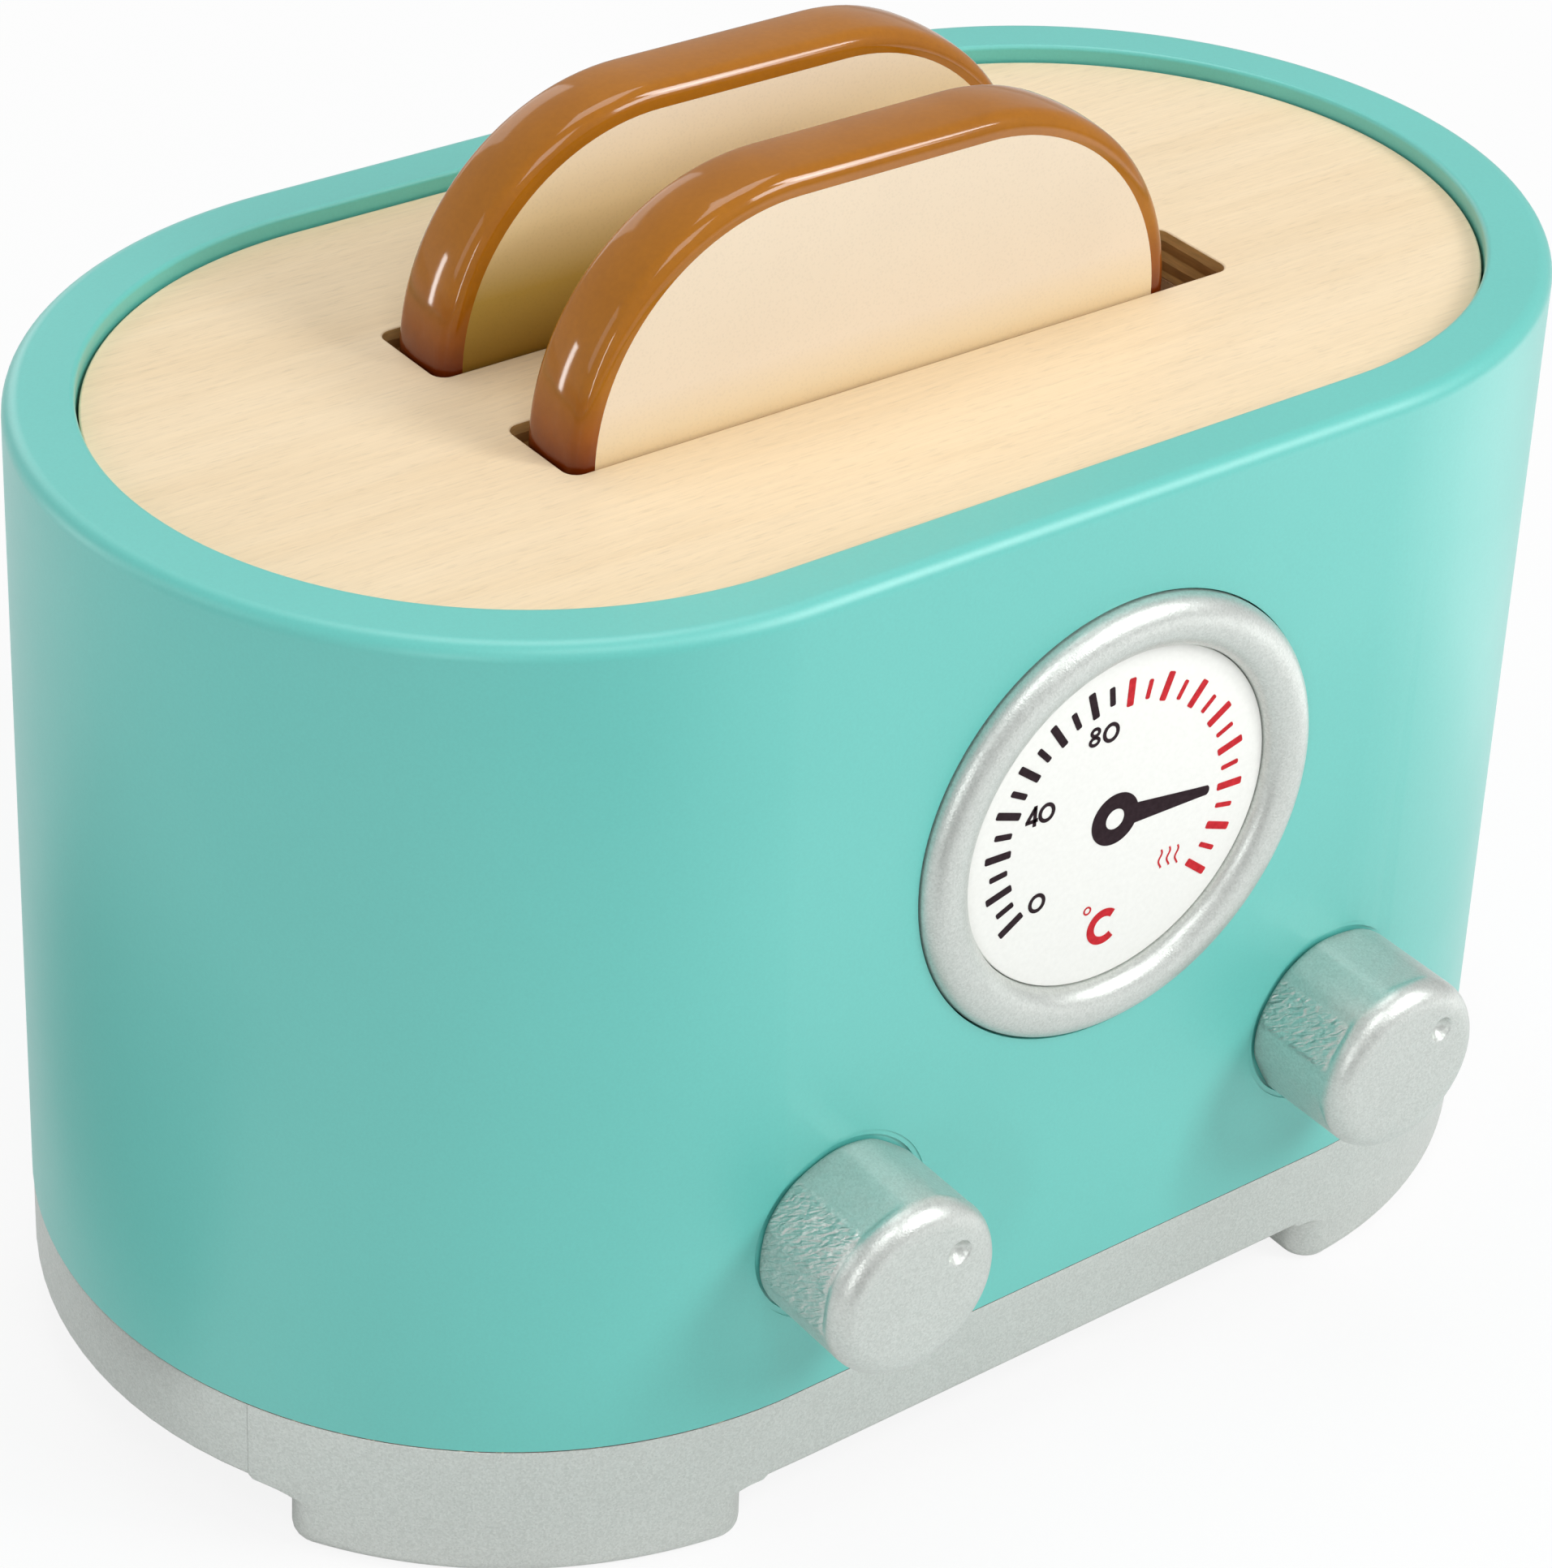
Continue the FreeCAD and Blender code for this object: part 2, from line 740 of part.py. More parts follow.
# ---------------------------------------------------------------- slices
def toast_slice(row):
    """Slice of toast: large shoulders, soft edges, standing on the felt."""
    left = slice_centre_x - slice_width / 2
    right = slice_centre_x + slice_width / 2
    front_y = slot_rows[row] - slot_width / 2 + slice_gap
    corners = [
        (left, slice_bottom_z, slice_foot_radius),
        (right, slice_bottom_z, slice_foot_radius),
        (right, slice_top_z, slice_shoulder_radius),
        (left, slice_top_z, slice_shoulder_radius),
    ]
    face = rounded_face(corners, lambda x, z: Vector(x, front_y, z))
    body = face.extrude(Vector(0, slice_thickness, 0))
    back_y = front_y + slice_thickness
    rims = edges_where(body, lambda edge, middle: (
        min(abs(middle.y - front_y), abs(middle.y - back_y)) < 0.01))
    return body.makeFillet(slice_edge_round, rims)


# ---------------------------------------------------------------- write every node
def build():
    """Make every node once."""
    nodes["body_shell"] = body_shell()
    nodes["base_plinth"] = base_plinth()
    nodes["top_plate"] = top_plate()
    nodes["dial_face"] = dial_face()
    nodes["bezel_ring"] = bezel_ring()
    nodes["base_screws"] = screw_group(base_screw_places(), base_screw_length)
    nodes["guide_board_screws"] = screw_group(guide_screw_places(), guide_screw_length)
    for side in sides:
        nodes["guide_board_" + side] = guide_board(side)
        nodes["guide_rod_" + side] = guide_rod(side)
        nodes["stop_sleeve_" + side] = stop_sleeve(side)
        nodes["stop_ring_" + side] = stop_ring(side)
        nodes["lift_spring_" + side] = lift_spring(side)
        nodes["knob_bush_" + side] = knob_bush(side)
        nodes["knob_" + side] = knob(side)
        nodes["knob_shaft_" + side] = knob_shaft(side)
        nodes["knob_keeper_" + side] = knob_keeper(side)
        nodes["lift_bush_" + side] = lift_bush(side)
    nodes["knob_washer_left"] = knob_washer()
    nodes["hold_down_cam"] = hold_down_cam()
    nodes["lift_platform"] = lift_platform()
    nodes["felt_strips"] = felt_strips()
    nodes["hold_down_tab"] = hold_down_tab()
    nodes["tab_screws"] = tab_screws()
    for row in slot_rows:
        nodes["slice_" + row] = toast_slice(row)


def write():
    """Move each node into the toaster's own frame and write it."""
    os.makedirs("parts", exist_ok=True)
    for name, shape in nodes.items():
        shape.translate(Vector(0, body_shift_y, 0))
        shape.exportStep("parts/" + name + ".step")
        box = shape.BoundBox
        print("%-20s %d solids, valid %s, volume %.0f, x %.2f..%.2f y %.2f..%.2f z %.2f..%.2f" % (
            name, len(shape.Solids), shape.isValid(), shape.Volume,
            box.XMin, box.XMax, box.YMin, box.YMax, box.ZMin, box.ZMax))


build()
write()
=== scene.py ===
import json
from functools import partial
from math import asin, atan2, copysign, cos, degrees, pi, radians, sin, sqrt, tan

import bmesh
import bpy
import numpy as np
from mathutils import Matrix, Vector


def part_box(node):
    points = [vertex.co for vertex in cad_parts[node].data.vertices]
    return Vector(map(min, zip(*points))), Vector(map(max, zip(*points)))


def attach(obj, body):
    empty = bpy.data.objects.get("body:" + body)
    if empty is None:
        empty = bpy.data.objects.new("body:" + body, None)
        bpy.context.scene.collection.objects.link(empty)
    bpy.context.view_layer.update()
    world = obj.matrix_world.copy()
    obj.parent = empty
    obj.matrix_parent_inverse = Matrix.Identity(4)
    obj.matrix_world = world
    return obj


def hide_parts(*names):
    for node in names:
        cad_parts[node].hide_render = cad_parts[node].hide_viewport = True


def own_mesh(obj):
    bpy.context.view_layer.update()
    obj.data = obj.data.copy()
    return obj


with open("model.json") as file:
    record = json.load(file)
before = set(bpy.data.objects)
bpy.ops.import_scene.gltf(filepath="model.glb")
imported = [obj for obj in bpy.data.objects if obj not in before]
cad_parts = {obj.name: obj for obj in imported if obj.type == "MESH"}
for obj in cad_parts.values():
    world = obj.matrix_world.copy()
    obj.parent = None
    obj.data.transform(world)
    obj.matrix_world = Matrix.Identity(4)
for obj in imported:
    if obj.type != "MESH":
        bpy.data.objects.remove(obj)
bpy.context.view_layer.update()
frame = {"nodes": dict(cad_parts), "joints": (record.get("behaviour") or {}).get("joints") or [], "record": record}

# Toy pop-up toaster.  Sizes here are in millimetres and become metres when a mesh is made.
MM = 0.001

# ---- sizes shared with the frame
TURN_X = 38.5
RIM_HALF = 54.0
TOP_Z = 118.0
LEAN = 2.5
BASE_TOP_Z = 18.0
PLINTH_INSET = 0.12
FOOT_HEIGHT = 7.3
ARCH_LEFT = -43.6
ARCH_RIGHT = 38.4
ARCH_END = 25.5
RIM_WALL = 7.6
LEDGE = 3.0
PLATE_GAP = 0.3
SLOT_LENGTH = 90.0
SLOT_WIDTH = 12.5
SLOT_GAP = 0.3
SLOT_CORNER = 1.6
DIAL_X = 2.1
DIAL_Z = 78.35
DISC_RADIUS = 20.75
RING_BAND = 6.0
RING_HEIGHT = 2.3
RING_GAP = 0.1
POCKET_GAP = 0.16
POCKET_SHIFT = (-0.06, 0.06)
KNOB_RADIUS = 10.9
RECESS_RADIUS = 11.08
RECESS_DEPTH = 0.55
DISH_RADIUS = 11.7
DISH_DEPTH = 0.16
SHAFT_HOLE = 4.31
SHAFT_BORE = 3.05
ROD_SEAT = 2.55
ROD_BACK = 1.6


def node_box(node):
    """Corners of a frame node in millimetres."""
    low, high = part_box(node)
    return [c / MM for c in low], [c / MM for c in high]


MIDDLE_Y = sum(corner[1] for corner in node_box("body_shell")) / 2
PLATE_BOTTOM, PLATE_TOP = (corner[2] for corner in node_box("top_plate"))
FACE_Y, POCKET_Y = (corner[1] for corner in node_box("dial_face"))
joint_place = {joint["name"]: joint.get("pos_m") for joint in frame["joints"]}


def knob_place(side):
    """Axis of a knob, in millimetres."""
    place = joint_place[side + "_knob_turn"]
    return place[0] / MM, place[2] / MM


def half_width(z):
    """Distance from the middle line to the leaning wall at height z."""
    return RIM_HALF + LEAN * (TOP_Z - z) / TOP_Z


# ---- paths
def spin(u, v, angle):
    """Flat point turned about the origin by radians."""
    return u * cos(angle) - v * sin(angle), u * sin(angle) + v * cos(angle)


def arc(u, v, radius_u, radius_v, start, end, steps):
    """Points of an ellipse arc, angles in degrees."""
    path = []
    for k in range(steps + 1):
        a = radians(start + (end - start) * k / steps)
        path.append((u + radius_u * cos(a), v + radius_v * sin(a)))
    return path


def oval(u, v, radius_u, radius_v, steps=36):
    """Closed ellipse path."""
    return arc(u, v, radius_u, radius_v, 0, 360, steps)[:-1]


def rounded_path(corners, steps):
    """Closed flat path through corners (u, v, radius), each corner turned by an arc."""
    path = []
    for index, (u, v, radius) in enumerate(corners):
        if radius <= 0:
            path.append((u, v))
            continue
        here = Vector((u, v))
        back = (Vector(corners[index - 1][:2]) - here).normalized()
        ahead = (Vector(corners[(index + 1) % len(corners)][:2]) - here).normalized()
        half = back.angle(ahead) / 2
        centre = here + (back + ahead).normalized() * (radius / sin(half))
        start = here + back * (radius / tan(half)) - centre
        end = here + ahead * (radius / tan(half)) - centre
        turn = start.angle_signed(end)
        for step in range(steps + 1):
            x, y = spin(start.x, start.y, -turn * step / steps)
            path.append((centre.x + x, centre.y + y))
    return path


def box_path(u0, u1, v0, v1, low_radius, high_radius, steps):
    """Closed rectangle with one radius at its low corners and one at its high corners."""
    return rounded_path([(u0, v0, low_radius), (u1, v0, low_radius), (u1, v1, high_radius), (u0, v1, high_radius)],
                        steps)


# columns round the racetrack outline: x of the foot point, direction x, direction y
OUTLINE = [(-side * TURN_X, *direction) for side in (-1, 1)
           for direction in arc(0, 0, 1, 1, side * 90, side * 90 + 180, 72)[:-1]]


def ring(distance, z):
    """Loop of the outline at a distance from the middle line."""
    return [(x + dx * distance, MIDDLE_Y + dy * distance, z) for x, dx, dy in OUTLINE]


# ---- mesh helpers
def band(here, there):
    """Quads between two closed rows of point numbers."""
    count = len(here)
    return [(here[k], here[(k + 1) % count], there[(k + 1) % count], there[k]) for k in range(count)]


def skin(loops, wrap=False, caps=True):
    """Points and quads between closed loops of equal length, with flat caps or wrapped end to end."""
    points = [p for loop in loops for p in loop]
    count = len(loops[0])
    rows = [range(start, start + count) for start in range(0, len(points), count)]
    faces = []
    for index in range(len(rows) if wrap else len(rows) - 1):
        faces += band(rows[index], rows[(index + 1) % len(rows)])
    if caps and not wrap:
        faces += [tuple(reversed(rows[0])), tuple(rows[-1])]
    return points, faces


def together(shapes):
    """One shape of points and faces from several."""
    points, faces = [], []
    for more_points, more_faces in shapes:
        faces += [tuple(len(points) + i for i in face) for face in more_faces]
        points += more_points
    return points, faces


def tuned(thing, **settings):
    """Set several properties of a thing."""
    for key, value in settings.items():
        setattr(thing, key, value)
    return thing


def link(name, data):
    """New object in the scene."""
    made = bpy.data.objects.new(name, data)
    bpy.context.scene.collection.objects.link(made)
    return made


def new_piece(name, shape, *finishes, crease=35.0, finish_of=None, wrinkle=None):
    """Piece from points in millimetres and faces, smooth except at creases."""
    points, faces = shape
    mesh = bpy.data.meshes.new(name)
    mesh.from_pydata([tuple(float(c) * MM for c in p) for p in points], [], faces)
    if wrinkle is not None:
        mesh.attributes.new("wrinkle", "FLOAT", "POINT").data.foreach_set("value", wrinkle)
    for finish in finishes:
        mesh.materials.append(finish)
    if finish_of is not None:
        mesh.polygons.foreach_set("material_index", finish_of)
    face_outwards(mesh)
    shade(mesh, crease)
    return link(name, mesh)


def face_outwards(mesh):
    """Merge doubles and turn every face outwards."""
    work = bmesh.new()
    work.from_mesh(mesh)
    bmesh.ops.remove_doubles(work, verts=work.verts, dist=1e-7)
    bmesh.ops.recalc_face_normals(work, faces=work.faces)
    work.to_mesh(mesh)
    work.free()


def shade(mesh, crease):
    """Smooth shading with sharp edges above an angle in degrees."""
    mesh.shade_smooth()
    mesh.set_sharp_from_angle(angle=radians(crease))


def bake(piece):
    """Replace a piece's mesh by what its modifiers make of it."""
    graph = bpy.context.evaluated_depsgraph_get()
    made = bpy.data.meshes.new_from_object(piece.evaluated_get(graph), depsgraph=graph)
    piece.modifiers.clear()
    old = piece.data
    piece.data = made
    made.name = old.name
    bpy.data.meshes.remove(old)


def turned(name, profile, x, z, segments, finish, crease=35.0):
    """Piece turned about an axis along Y from a closed profile of (radius, y)."""
    loops = [[(x + r * c, y, z + r * s) for r, y in profile] for c, s in oval(0, 0, 1, 1, segments)]
    return new_piece(name, skin(loops, wrap=True), finish, crease=crease)


def cut_away(piece, cutters):
    """Take solids away from a piece."""
    for cutter in cutters:
        tuned(piece.modifiers.new("cut", "BOOLEAN"), operation="DIFFERENCE", solver="EXACT", object=cutter)
    bake(piece)
    for cutter in cutters:
        bpy.data.objects.remove(cutter)


def weigh(piece, weight):
    """Let the large faces lead the shading."""
    tuned(piece.modifiers.new("weigh", "WEIGHTED_NORMAL"), keep_sharp=True, weight=weight)
    bake(piece)


def soften(piece, width):
    """Round every sharp edge and keep flat faces looking flat."""
    tuned(piece.modifiers.new("edge", "BEVEL"), width=width * MM, segments=3,
          limit_method="ANGLE", angle_limit=radians(40.0), use_clamp_overlap=True)
    bake(piece)
    shade(piece.data, 38.0)
    weigh(piece, 90)


def plug(x, z, radius, end_y, segments=96, lean=0.0):
    """Cutter along Y from in front of the wall; its end face may lean with the wall."""
    front_y = MIDDLE_Y - RIM_HALF - 8
    return new_piece("cutter", skin([
        [(x + u, y + slope * v, z + v) for u, v in oval(0, 0, radius, radius, segments)]
        for y, slope in ((front_y, 0.0), (end_y, lean))]))


def post(path, z_start, z_end):
    """Cutter along Z from a flat path."""
    return new_piece("cutter", skin([[(x, y, z) for x, y in path] for z in (z_start, z_end)]))


def rod_seats():
    """Round hole of each guide rod, with the rod's foot and top."""
    for node in ("guide_rod_left", "guide_rod_right"):
        low, high = node_box(node)
        yield oval((low[0] + high[0]) / 2, (low[1] + high[1]) / 2, ROD_SEAT, ROD_SEAT, 32), low[2], high[2]


def settle(piece, body, slot, *nodes):
    """Attach a finished piece to the body it rides on and hide the frame nodes it stands for; the finish slot
    argument is not used.
    """
    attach(piece, body)
    if nodes:
        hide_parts(*nodes)


# ---- finishes
def add_node(tree, kind, inputs=None, **settings):
    """Add a node, a shader's unless its kind says another; inputs are values or sockets."""
    node = tuned(tree.nodes.new(kind if "Node" in kind else "ShaderNode" + kind), **settings)
    for key, value in (inputs or {}).items():
        if isinstance(value, bpy.types.NodeSocket):
            tree.links.new(value, node.inputs[key])
        else:
            node.inputs[key].default_value = value
    return node


class Finish:
    """A node material built one call at a time."""

    def __init__(self, name, base, roughness, **sockets):
        self.material = bpy.data.materials.new(name)
        self.material.use_nodes = True
        self.tree = self.material.node_tree
        self.add = partial(add_node, self.tree)
        self.shader = self.tree.nodes["Principled BSDF"]
        for socket, value in {"Base_Color": (*base, 1), "Roughness": roughness, **sockets}.items():
            self.shader.inputs[socket.replace("_", " ")].default_value = value
        self.place = self.add("TexCoord").outputs["Object"]
        self.relief = None

    def stretched(self, x, y, z):
        """Object coordinates scaled along each axis, per metre."""
        return self.add("Mapping", {"Vector": self.place, "Scale": (x, y, z)}).outputs[0]

    def noise(self, scale, detail, roughness=0.55, distortion=0, place=None):
        """Grey noise over the object's coordinates or over others."""
        return self.add("TexNoise", {
            "Vector": place or self.place, "Scale": scale, "Detail": detail,
            "Roughness": roughness, "Distortion": distortion,
        }).outputs["Fac"]

    def grain(self, x, y, z, detail, roughness=0.55):
        """Grey noise stretched along the axes."""
        return self.noise(1, detail, roughness, place=self.stretched(x, y, z))

    def ramp(self, value, *stops):
        """Colours by value; stops are (place, colour)."""
        node = self.add("ValToRGB", {"Fac": value})
        elements = node.color_ramp.elements
        while len(elements) < len(stops):
            elements.new(0.5)
        for element, (where, colour) in zip(elements, stops):
            element.position = where
            element.color = (*colour, 1)
        return node.outputs["Color"]

    def fade(self, value, low, high, first=0.3, last=0.7):
        """From one grey or colour to another between two values."""
        low, high = (c if isinstance(c, tuple) else (c, c, c) for c in (low, high))
        return self.ramp(value, (first, low), (last, high))

    def math(self, operation, first, second, clamp=False):
        """One sum."""
        return self.add("Math", {0: first, 1: second}, operation=operation, use_clamp=clamp).outputs[0]

    def rise(self, start, span, clamp=True):
        """Height above a start, as a share of a span."""
        height = self.add("SeparateXYZ", {"Vector": self.place}).outputs["Z"]
        return self.math("MULTIPLY", self.math("SUBTRACT", height, start * MM), 1 / (span * MM), clamp)

    def colour(self, tint, *shades):
        """Drive the colour, darkened by each shade in turn."""
        for over in shades:
            tint = self.add("Mix", {0: 1, 6: tint, 7: over}, data_type="RGBA", blend_type="MULTIPLY").outputs[2]
        self.tree.links.new(tint, self.shader.inputs["Base Color"])

    def gloss(self, value, low, high):
        """Drive the roughness from one value to another."""
        self.tree.links.new(self.fade(value, low, high), self.shader.inputs["Roughness"])

    def bump(self, height, depth, strength):
        """Relief of a depth in millimetres; calls stack."""
        inputs = {"Height": height, "Distance": depth * MM, "Strength": strength}
        if self.relief is not None:
            inputs["Normal"] = self.relief
        self.relief = self.add("Bump", inputs).outputs["Normal"]
        self.tree.links.new(self.relief, self.shader.inputs["Normal"])


def teal_lacquer():
    """Satin teal lacquer with a fine sprayed skin and faint grain below."""
    f = Finish("teal_lacquer", (0.115, 0.56, 0.5), 0.5, Coat_Weight=1, Coat_Roughness=0.45)
    tint = f.fade(f.noise(22, 2), (0.11, 0.55, 0.49), (0.12, 0.57, 0.51))
    f.colour(tint, f.fade(f.noise(3200, 1), 0.955, 1, 0.25, 0.75))
    f.gloss(f.noise(60, 3), 0.39, 0.46)
    f.bump(f.noise(900, 2), 0.035, 0.5)
    f.bump(f.noise(3, 3, place=f.stretched(12, 12, 60)), 0.12, 0.35)
    return f.material


def silver_lacquer(name, wrinkled=False):
    """Silver lacquer: flakes, and on knobs the wrinkled skin of the milled flats."""
    f = Finish(name, (0.7, 0.73, 0.7), 0.4, Metallic=0.72)
    flakes = f.add("TexVoronoi", {"Vector": f.place, "Scale": 4800}).outputs
    tint = f.fade(flakes["Color"], (0.57, 0.6, 0.57), (0.72, 0.75, 0.72), 0, 1)
    f.colour(tint, f.fade(f.noise(45, 3), 0.95, 1))
    f.gloss(f.noise(700, 2), 0.34, 0.42)
    f.bump(flakes["Distance"], 0.03, 0.5)
    f.bump(f.noise(600, 2), 0.02, 0.3)
    if wrinkled:
        mask = f.add("Attribute", attribute_name="wrinkle").outputs["Fac"]
        ridges = f.add("Mapping", {
            "Vector": f.place, "Rotation": (radians(-35), 0, 0),
            "Scale": (1 / 1100, 1 / 520, 1 / 2000)}, vector_type="TEXTURE").outputs[0]
        f.bump(f.math("MULTIPLY", f.noise(1, 1.2, 0.45, 0.6, ridges), mask), 0.42, 0.9)
    return f.material


def birch_face():
    """Rotary-cut birch under clear varnish, grain along X."""
    f = Finish("birch_face", (0.86, 0.68, 0.46), 0.46, Specular_IOR_Level=0.35)
    flow = f.noise(9, 5, 0.6, 0.6, f.stretched(1, 9, 9))
    fibre = f.grain(60, 1500, 1500, 4, 0.7)
    dash = f.grain(420, 3400, 3400, 2, 0.5)
    tint = f.ramp(flow, (0.25, (0.84, 0.655, 0.42)), (0.5, (0.89, 0.715, 0.48)), (0.8, (0.92, 0.755, 0.525)))
    f.colour(tint, f.fade(fibre, 0.925, 1, 0.3, 0.62), f.fade(dash, 1, 0.91, 0.56, 0.72))
    f.gloss(fibre, 0.52, 0.42)
    f.bump(fibre, 0.05, 0.35)
    return f.material


def birch_plies():
    """Sawn edge of the plywood: pale and dark plies."""
    f = Finish("birch_plies", (0.6, 0.38, 0.2), 0.6)
    wobble = f.math("MULTIPLY", f.noise(2, 2, place=f.stretched(80, 80, 400)), 0.16)
    ply = f.math("FRACT", f.math("ADD", f.rise(PLATE_BOTTOM, 2.4, False), wobble), 0)
    bands = f.ramp(ply, (0, (0.78, 0.5, 0.2)), (0.46, (0.74, 0.46, 0.17)),
                   (0.54, (0.38, 0.19, 0.05)), (0.95, (0.44, 0.23, 0.07)))
    f.colour(bands, f.fade(f.grain(300, 300, 2500, 3), 0.75, 1))
    f.bump(f.grain(400, 400, 2500, 3), 0.1, 0.5)
    return f.material


def crust_lacquer():
    """Thick gloss lacquer in crust brown, uneven as if dipped, with painted shade darkening it where it meets the
    plate.
    """
    f = Finish("crust_lacquer", (0.36, 0.12, 0.003), 0.4,
               Specular_IOR_Level=0.05, Coat_Weight=0.8, Coat_Roughness=0.08)
    tint = f.fade(f.noise(70, 3, 0.6), (0.37, 0.126, 0.002), (0.43, 0.152, 0.003))
    # painted shade: the crust darkens towards the plate, standing in for the deep slot's shade at rest; it rides up
    # with a lifted slice
    foot = f.ramp(f.rise(PLATE_TOP - 12, 21), (0, (0.8, 0.66, 0.55)), (0.5, (0.38, 0.14, 0.07)),
                  (0.58, (0.38, 0.14, 0.07)), (0.74, (0.72, 0.52, 0.4)), (1, (1, 1, 1)))
    f.colour(tint, f.fade(f.noise(1500, 2), 0.93, 1), foot)
    f.gloss(f.noise(160, 2), 0.35, 0.45)
    f.bump(f.noise(190, 2, 0.5), 0.16, 0.35)
    f.bump(f.noise(1500, 2), 0.03, 0.45)
    return f.material


def crumb_print(name, reach, *browning_print_and_shade):
    """Printed crumb: cream with a fine dot screen, browned by height round the plate's top by print and painted
    shade.
    """
    f = Finish(name, (0.9, 0.74, 0.5), 0.42, Specular_IOR_Level=0.3)
    # the browning ramp is partly printed toasting and partly painted shade near the slot; on the rear slice it is
    # mostly a painted shadow and painted bounce light
    toast = f.ramp(f.rise(PLATE_TOP - reach / 2, 1.5 * reach), *browning_print_and_shade)
    dots = f.add("TexVoronoi", {"Vector": f.stretched(1, 0, 1), "Scale": 2600})
    screen = f.fade(dots.outputs["Distance"], 0.955, 1, 0.15, 0.45)
    f.colour(toast, screen, f.fade(f.noise(55, 3), 0.965, 1))
    f.bump(f.grain(900, 900, 250, 3), 0.03, 0.3)
    return f.material


def dial_card():
    """White printed card with a fine matt skin."""
    f = Finish("dial_card", (0.89, 0.895, 0.86), 0.5, Specular_IOR_Level=0.3)
    f.colour(f.fade(f.noise(1800, 2), (0.87, 0.875, 0.84), (0.905, 0.91, 0.875)))
    f.bump(f.noise(700, 2), 0.02, 0.3)
    return f.material


def ink(name, colour):
    """Screen-printed ink with slightly uneven cover."""
    f = Finish(name, colour, 0.55, Specular_IOR_Level=0.08)
    thin = tuple(c * 1.35 + 0.006 for c in colour)
    f.colour(f.fade(f.noise(1300, 2), colour, thin, 0.35, 0.8))
    f.bump(f.noise(1500, 2), 0.01, 0.3)
    return f.material


def beech():
    """Planed beech with short flecks."""
    f = Finish("beech", (0.58, 0.38, 0.2), 0.6)
    flow = f.noise(2, 4, place=f.stretched(14, 60, 60))
    fleck = f.grain(300, 1500, 1500, 2)
    f.colour(f.fade(flow, (0.46, 0.28, 0.14), (0.62, 0.42, 0.24)), f.fade(fleck, 1, 0.78, 0.6, 0.7))
    f.bump(f.grain(80, 900, 900, 3), 0.08, 0.4)
    return f.material


def dried_glue_with_painted_glints():
    """Brown glue squeezed out of a joint, with pale specks painted as glints."""
    f = Finish("dried_glue_with_painted_glints", (0.12, 0.075, 0.04), 0.5)
    grain = f.noise(900, 3, 0.7)
    # the pale stop of the ramp paints glints of light along the joint
    f.colour(f.ramp(grain, (0.4, (0.03, 0.025, 0.02)), (0.58, (0.1, 0.065, 0.03)), (0.72, (0.62, 0.5, 0.3))))
    f.bump(grain, 0.2, 0.8)
    return f.material


def drawn_steel():
    """Bright steel with fine drawing lines."""
    f = Finish("drawn_steel", (0.56, 0.56, 0.57), 0.3, Metallic=1)
    lines = f.grain(2500, 2500, 60, 3)
    f.colour(f.fade(lines, (0.46, 0.46, 0.47), (0.62, 0.62, 0.63)))
    f.gloss(lines, 0.24, 0.38)
    f.bump(lines, 0.02, 0.4)
    return f.material


def nylon():
    """Natural nylon, slightly translucent looking."""
    f = Finish("nylon", (0.78, 0.77, 0.7), 0.45)
    f.colour(f.fade(f.noise(120, 2), (0.74, 0.73, 0.66), (0.82, 0.81, 0.75)))
    f.bump(f.noise(900, 2), 0.03, 0.4)
    return f.material


def wool_felt():
    """Grey pressed felt with loose fibres."""
    f = Finish("wool_felt", (0.09, 0.09, 0.095), 0.95, Sheen_Weight=0.4)
    f.colour(f.fade(f.noise(1400, 5, 0.75, 1.2), (0.05, 0.05, 0.055), (0.16, 0.16, 0.165)))
    f.bump(f.noise(1100, 5, 0.8, 1), 0.25, 0.8)
    return f.material


teal = teal_lacquer()
silver = silver_lacquer("silver_lacquer")
silver_knob = silver_lacquer("silver_knob_lacquer", wrinkled=True)
birch = birch_face()
plies = birch_plies()
crust = crust_lacquer()
crumb_of_row = {
    # front: browning near the plate, partly print and partly painted shade
    "front": crumb_print(
        "crumb_print_and_shade_front", 6.5, (0, (0.86, 0.71, 0.53)), (0.33, (0.78, 0.59, 0.34)),
        (0.53, (0.82, 0.66, 0.44)), (1, (0.86, 0.725, 0.57))),
    # rear: browning reaching far up, mostly a painted shadow cast by the front slice and painted warm light bounced
    # between the slices
    "rear": crumb_print(
        "crumb_print_and_painted_shadow_rear", 24, (0, (0.72, 0.56, 0.34)), (0.34, (0.25, 0.13, 0.01)),
        (0.54, (0.46, 0.3, 0.06)), (0.76, (0.82, 0.64, 0.36)), (1, (0.93, 0.79, 0.6))),
}
card = dial_card()
black_ink = ink("black_ink", (0.021, 0.01, 0.014))
red_ink = ink("red_ink", (0.5, 0.018, 0.026))
inner_finishes = {
    "teal_paint": teal, "silver_paint": silver, "plywood": birch, "toast_paint": crust, "dial_print": card,
    "bare_wood": beech(), "steel": drawn_steel(), "nylon": nylon(), "felt": wool_felt(),
}

slot_of_node = {s["node"]: s["material_slot"] for s in frame["record"]["subparts"]}
for node_name, node_object in frame["nodes"].items():
    wanted = inner_finishes[slot_of_node[node_name]]
    if not node_object.material_slots:
        node_object.data.materials.append(wanted)
    for material_slot in node_object.material_slots:
        material_slot.material = wanted


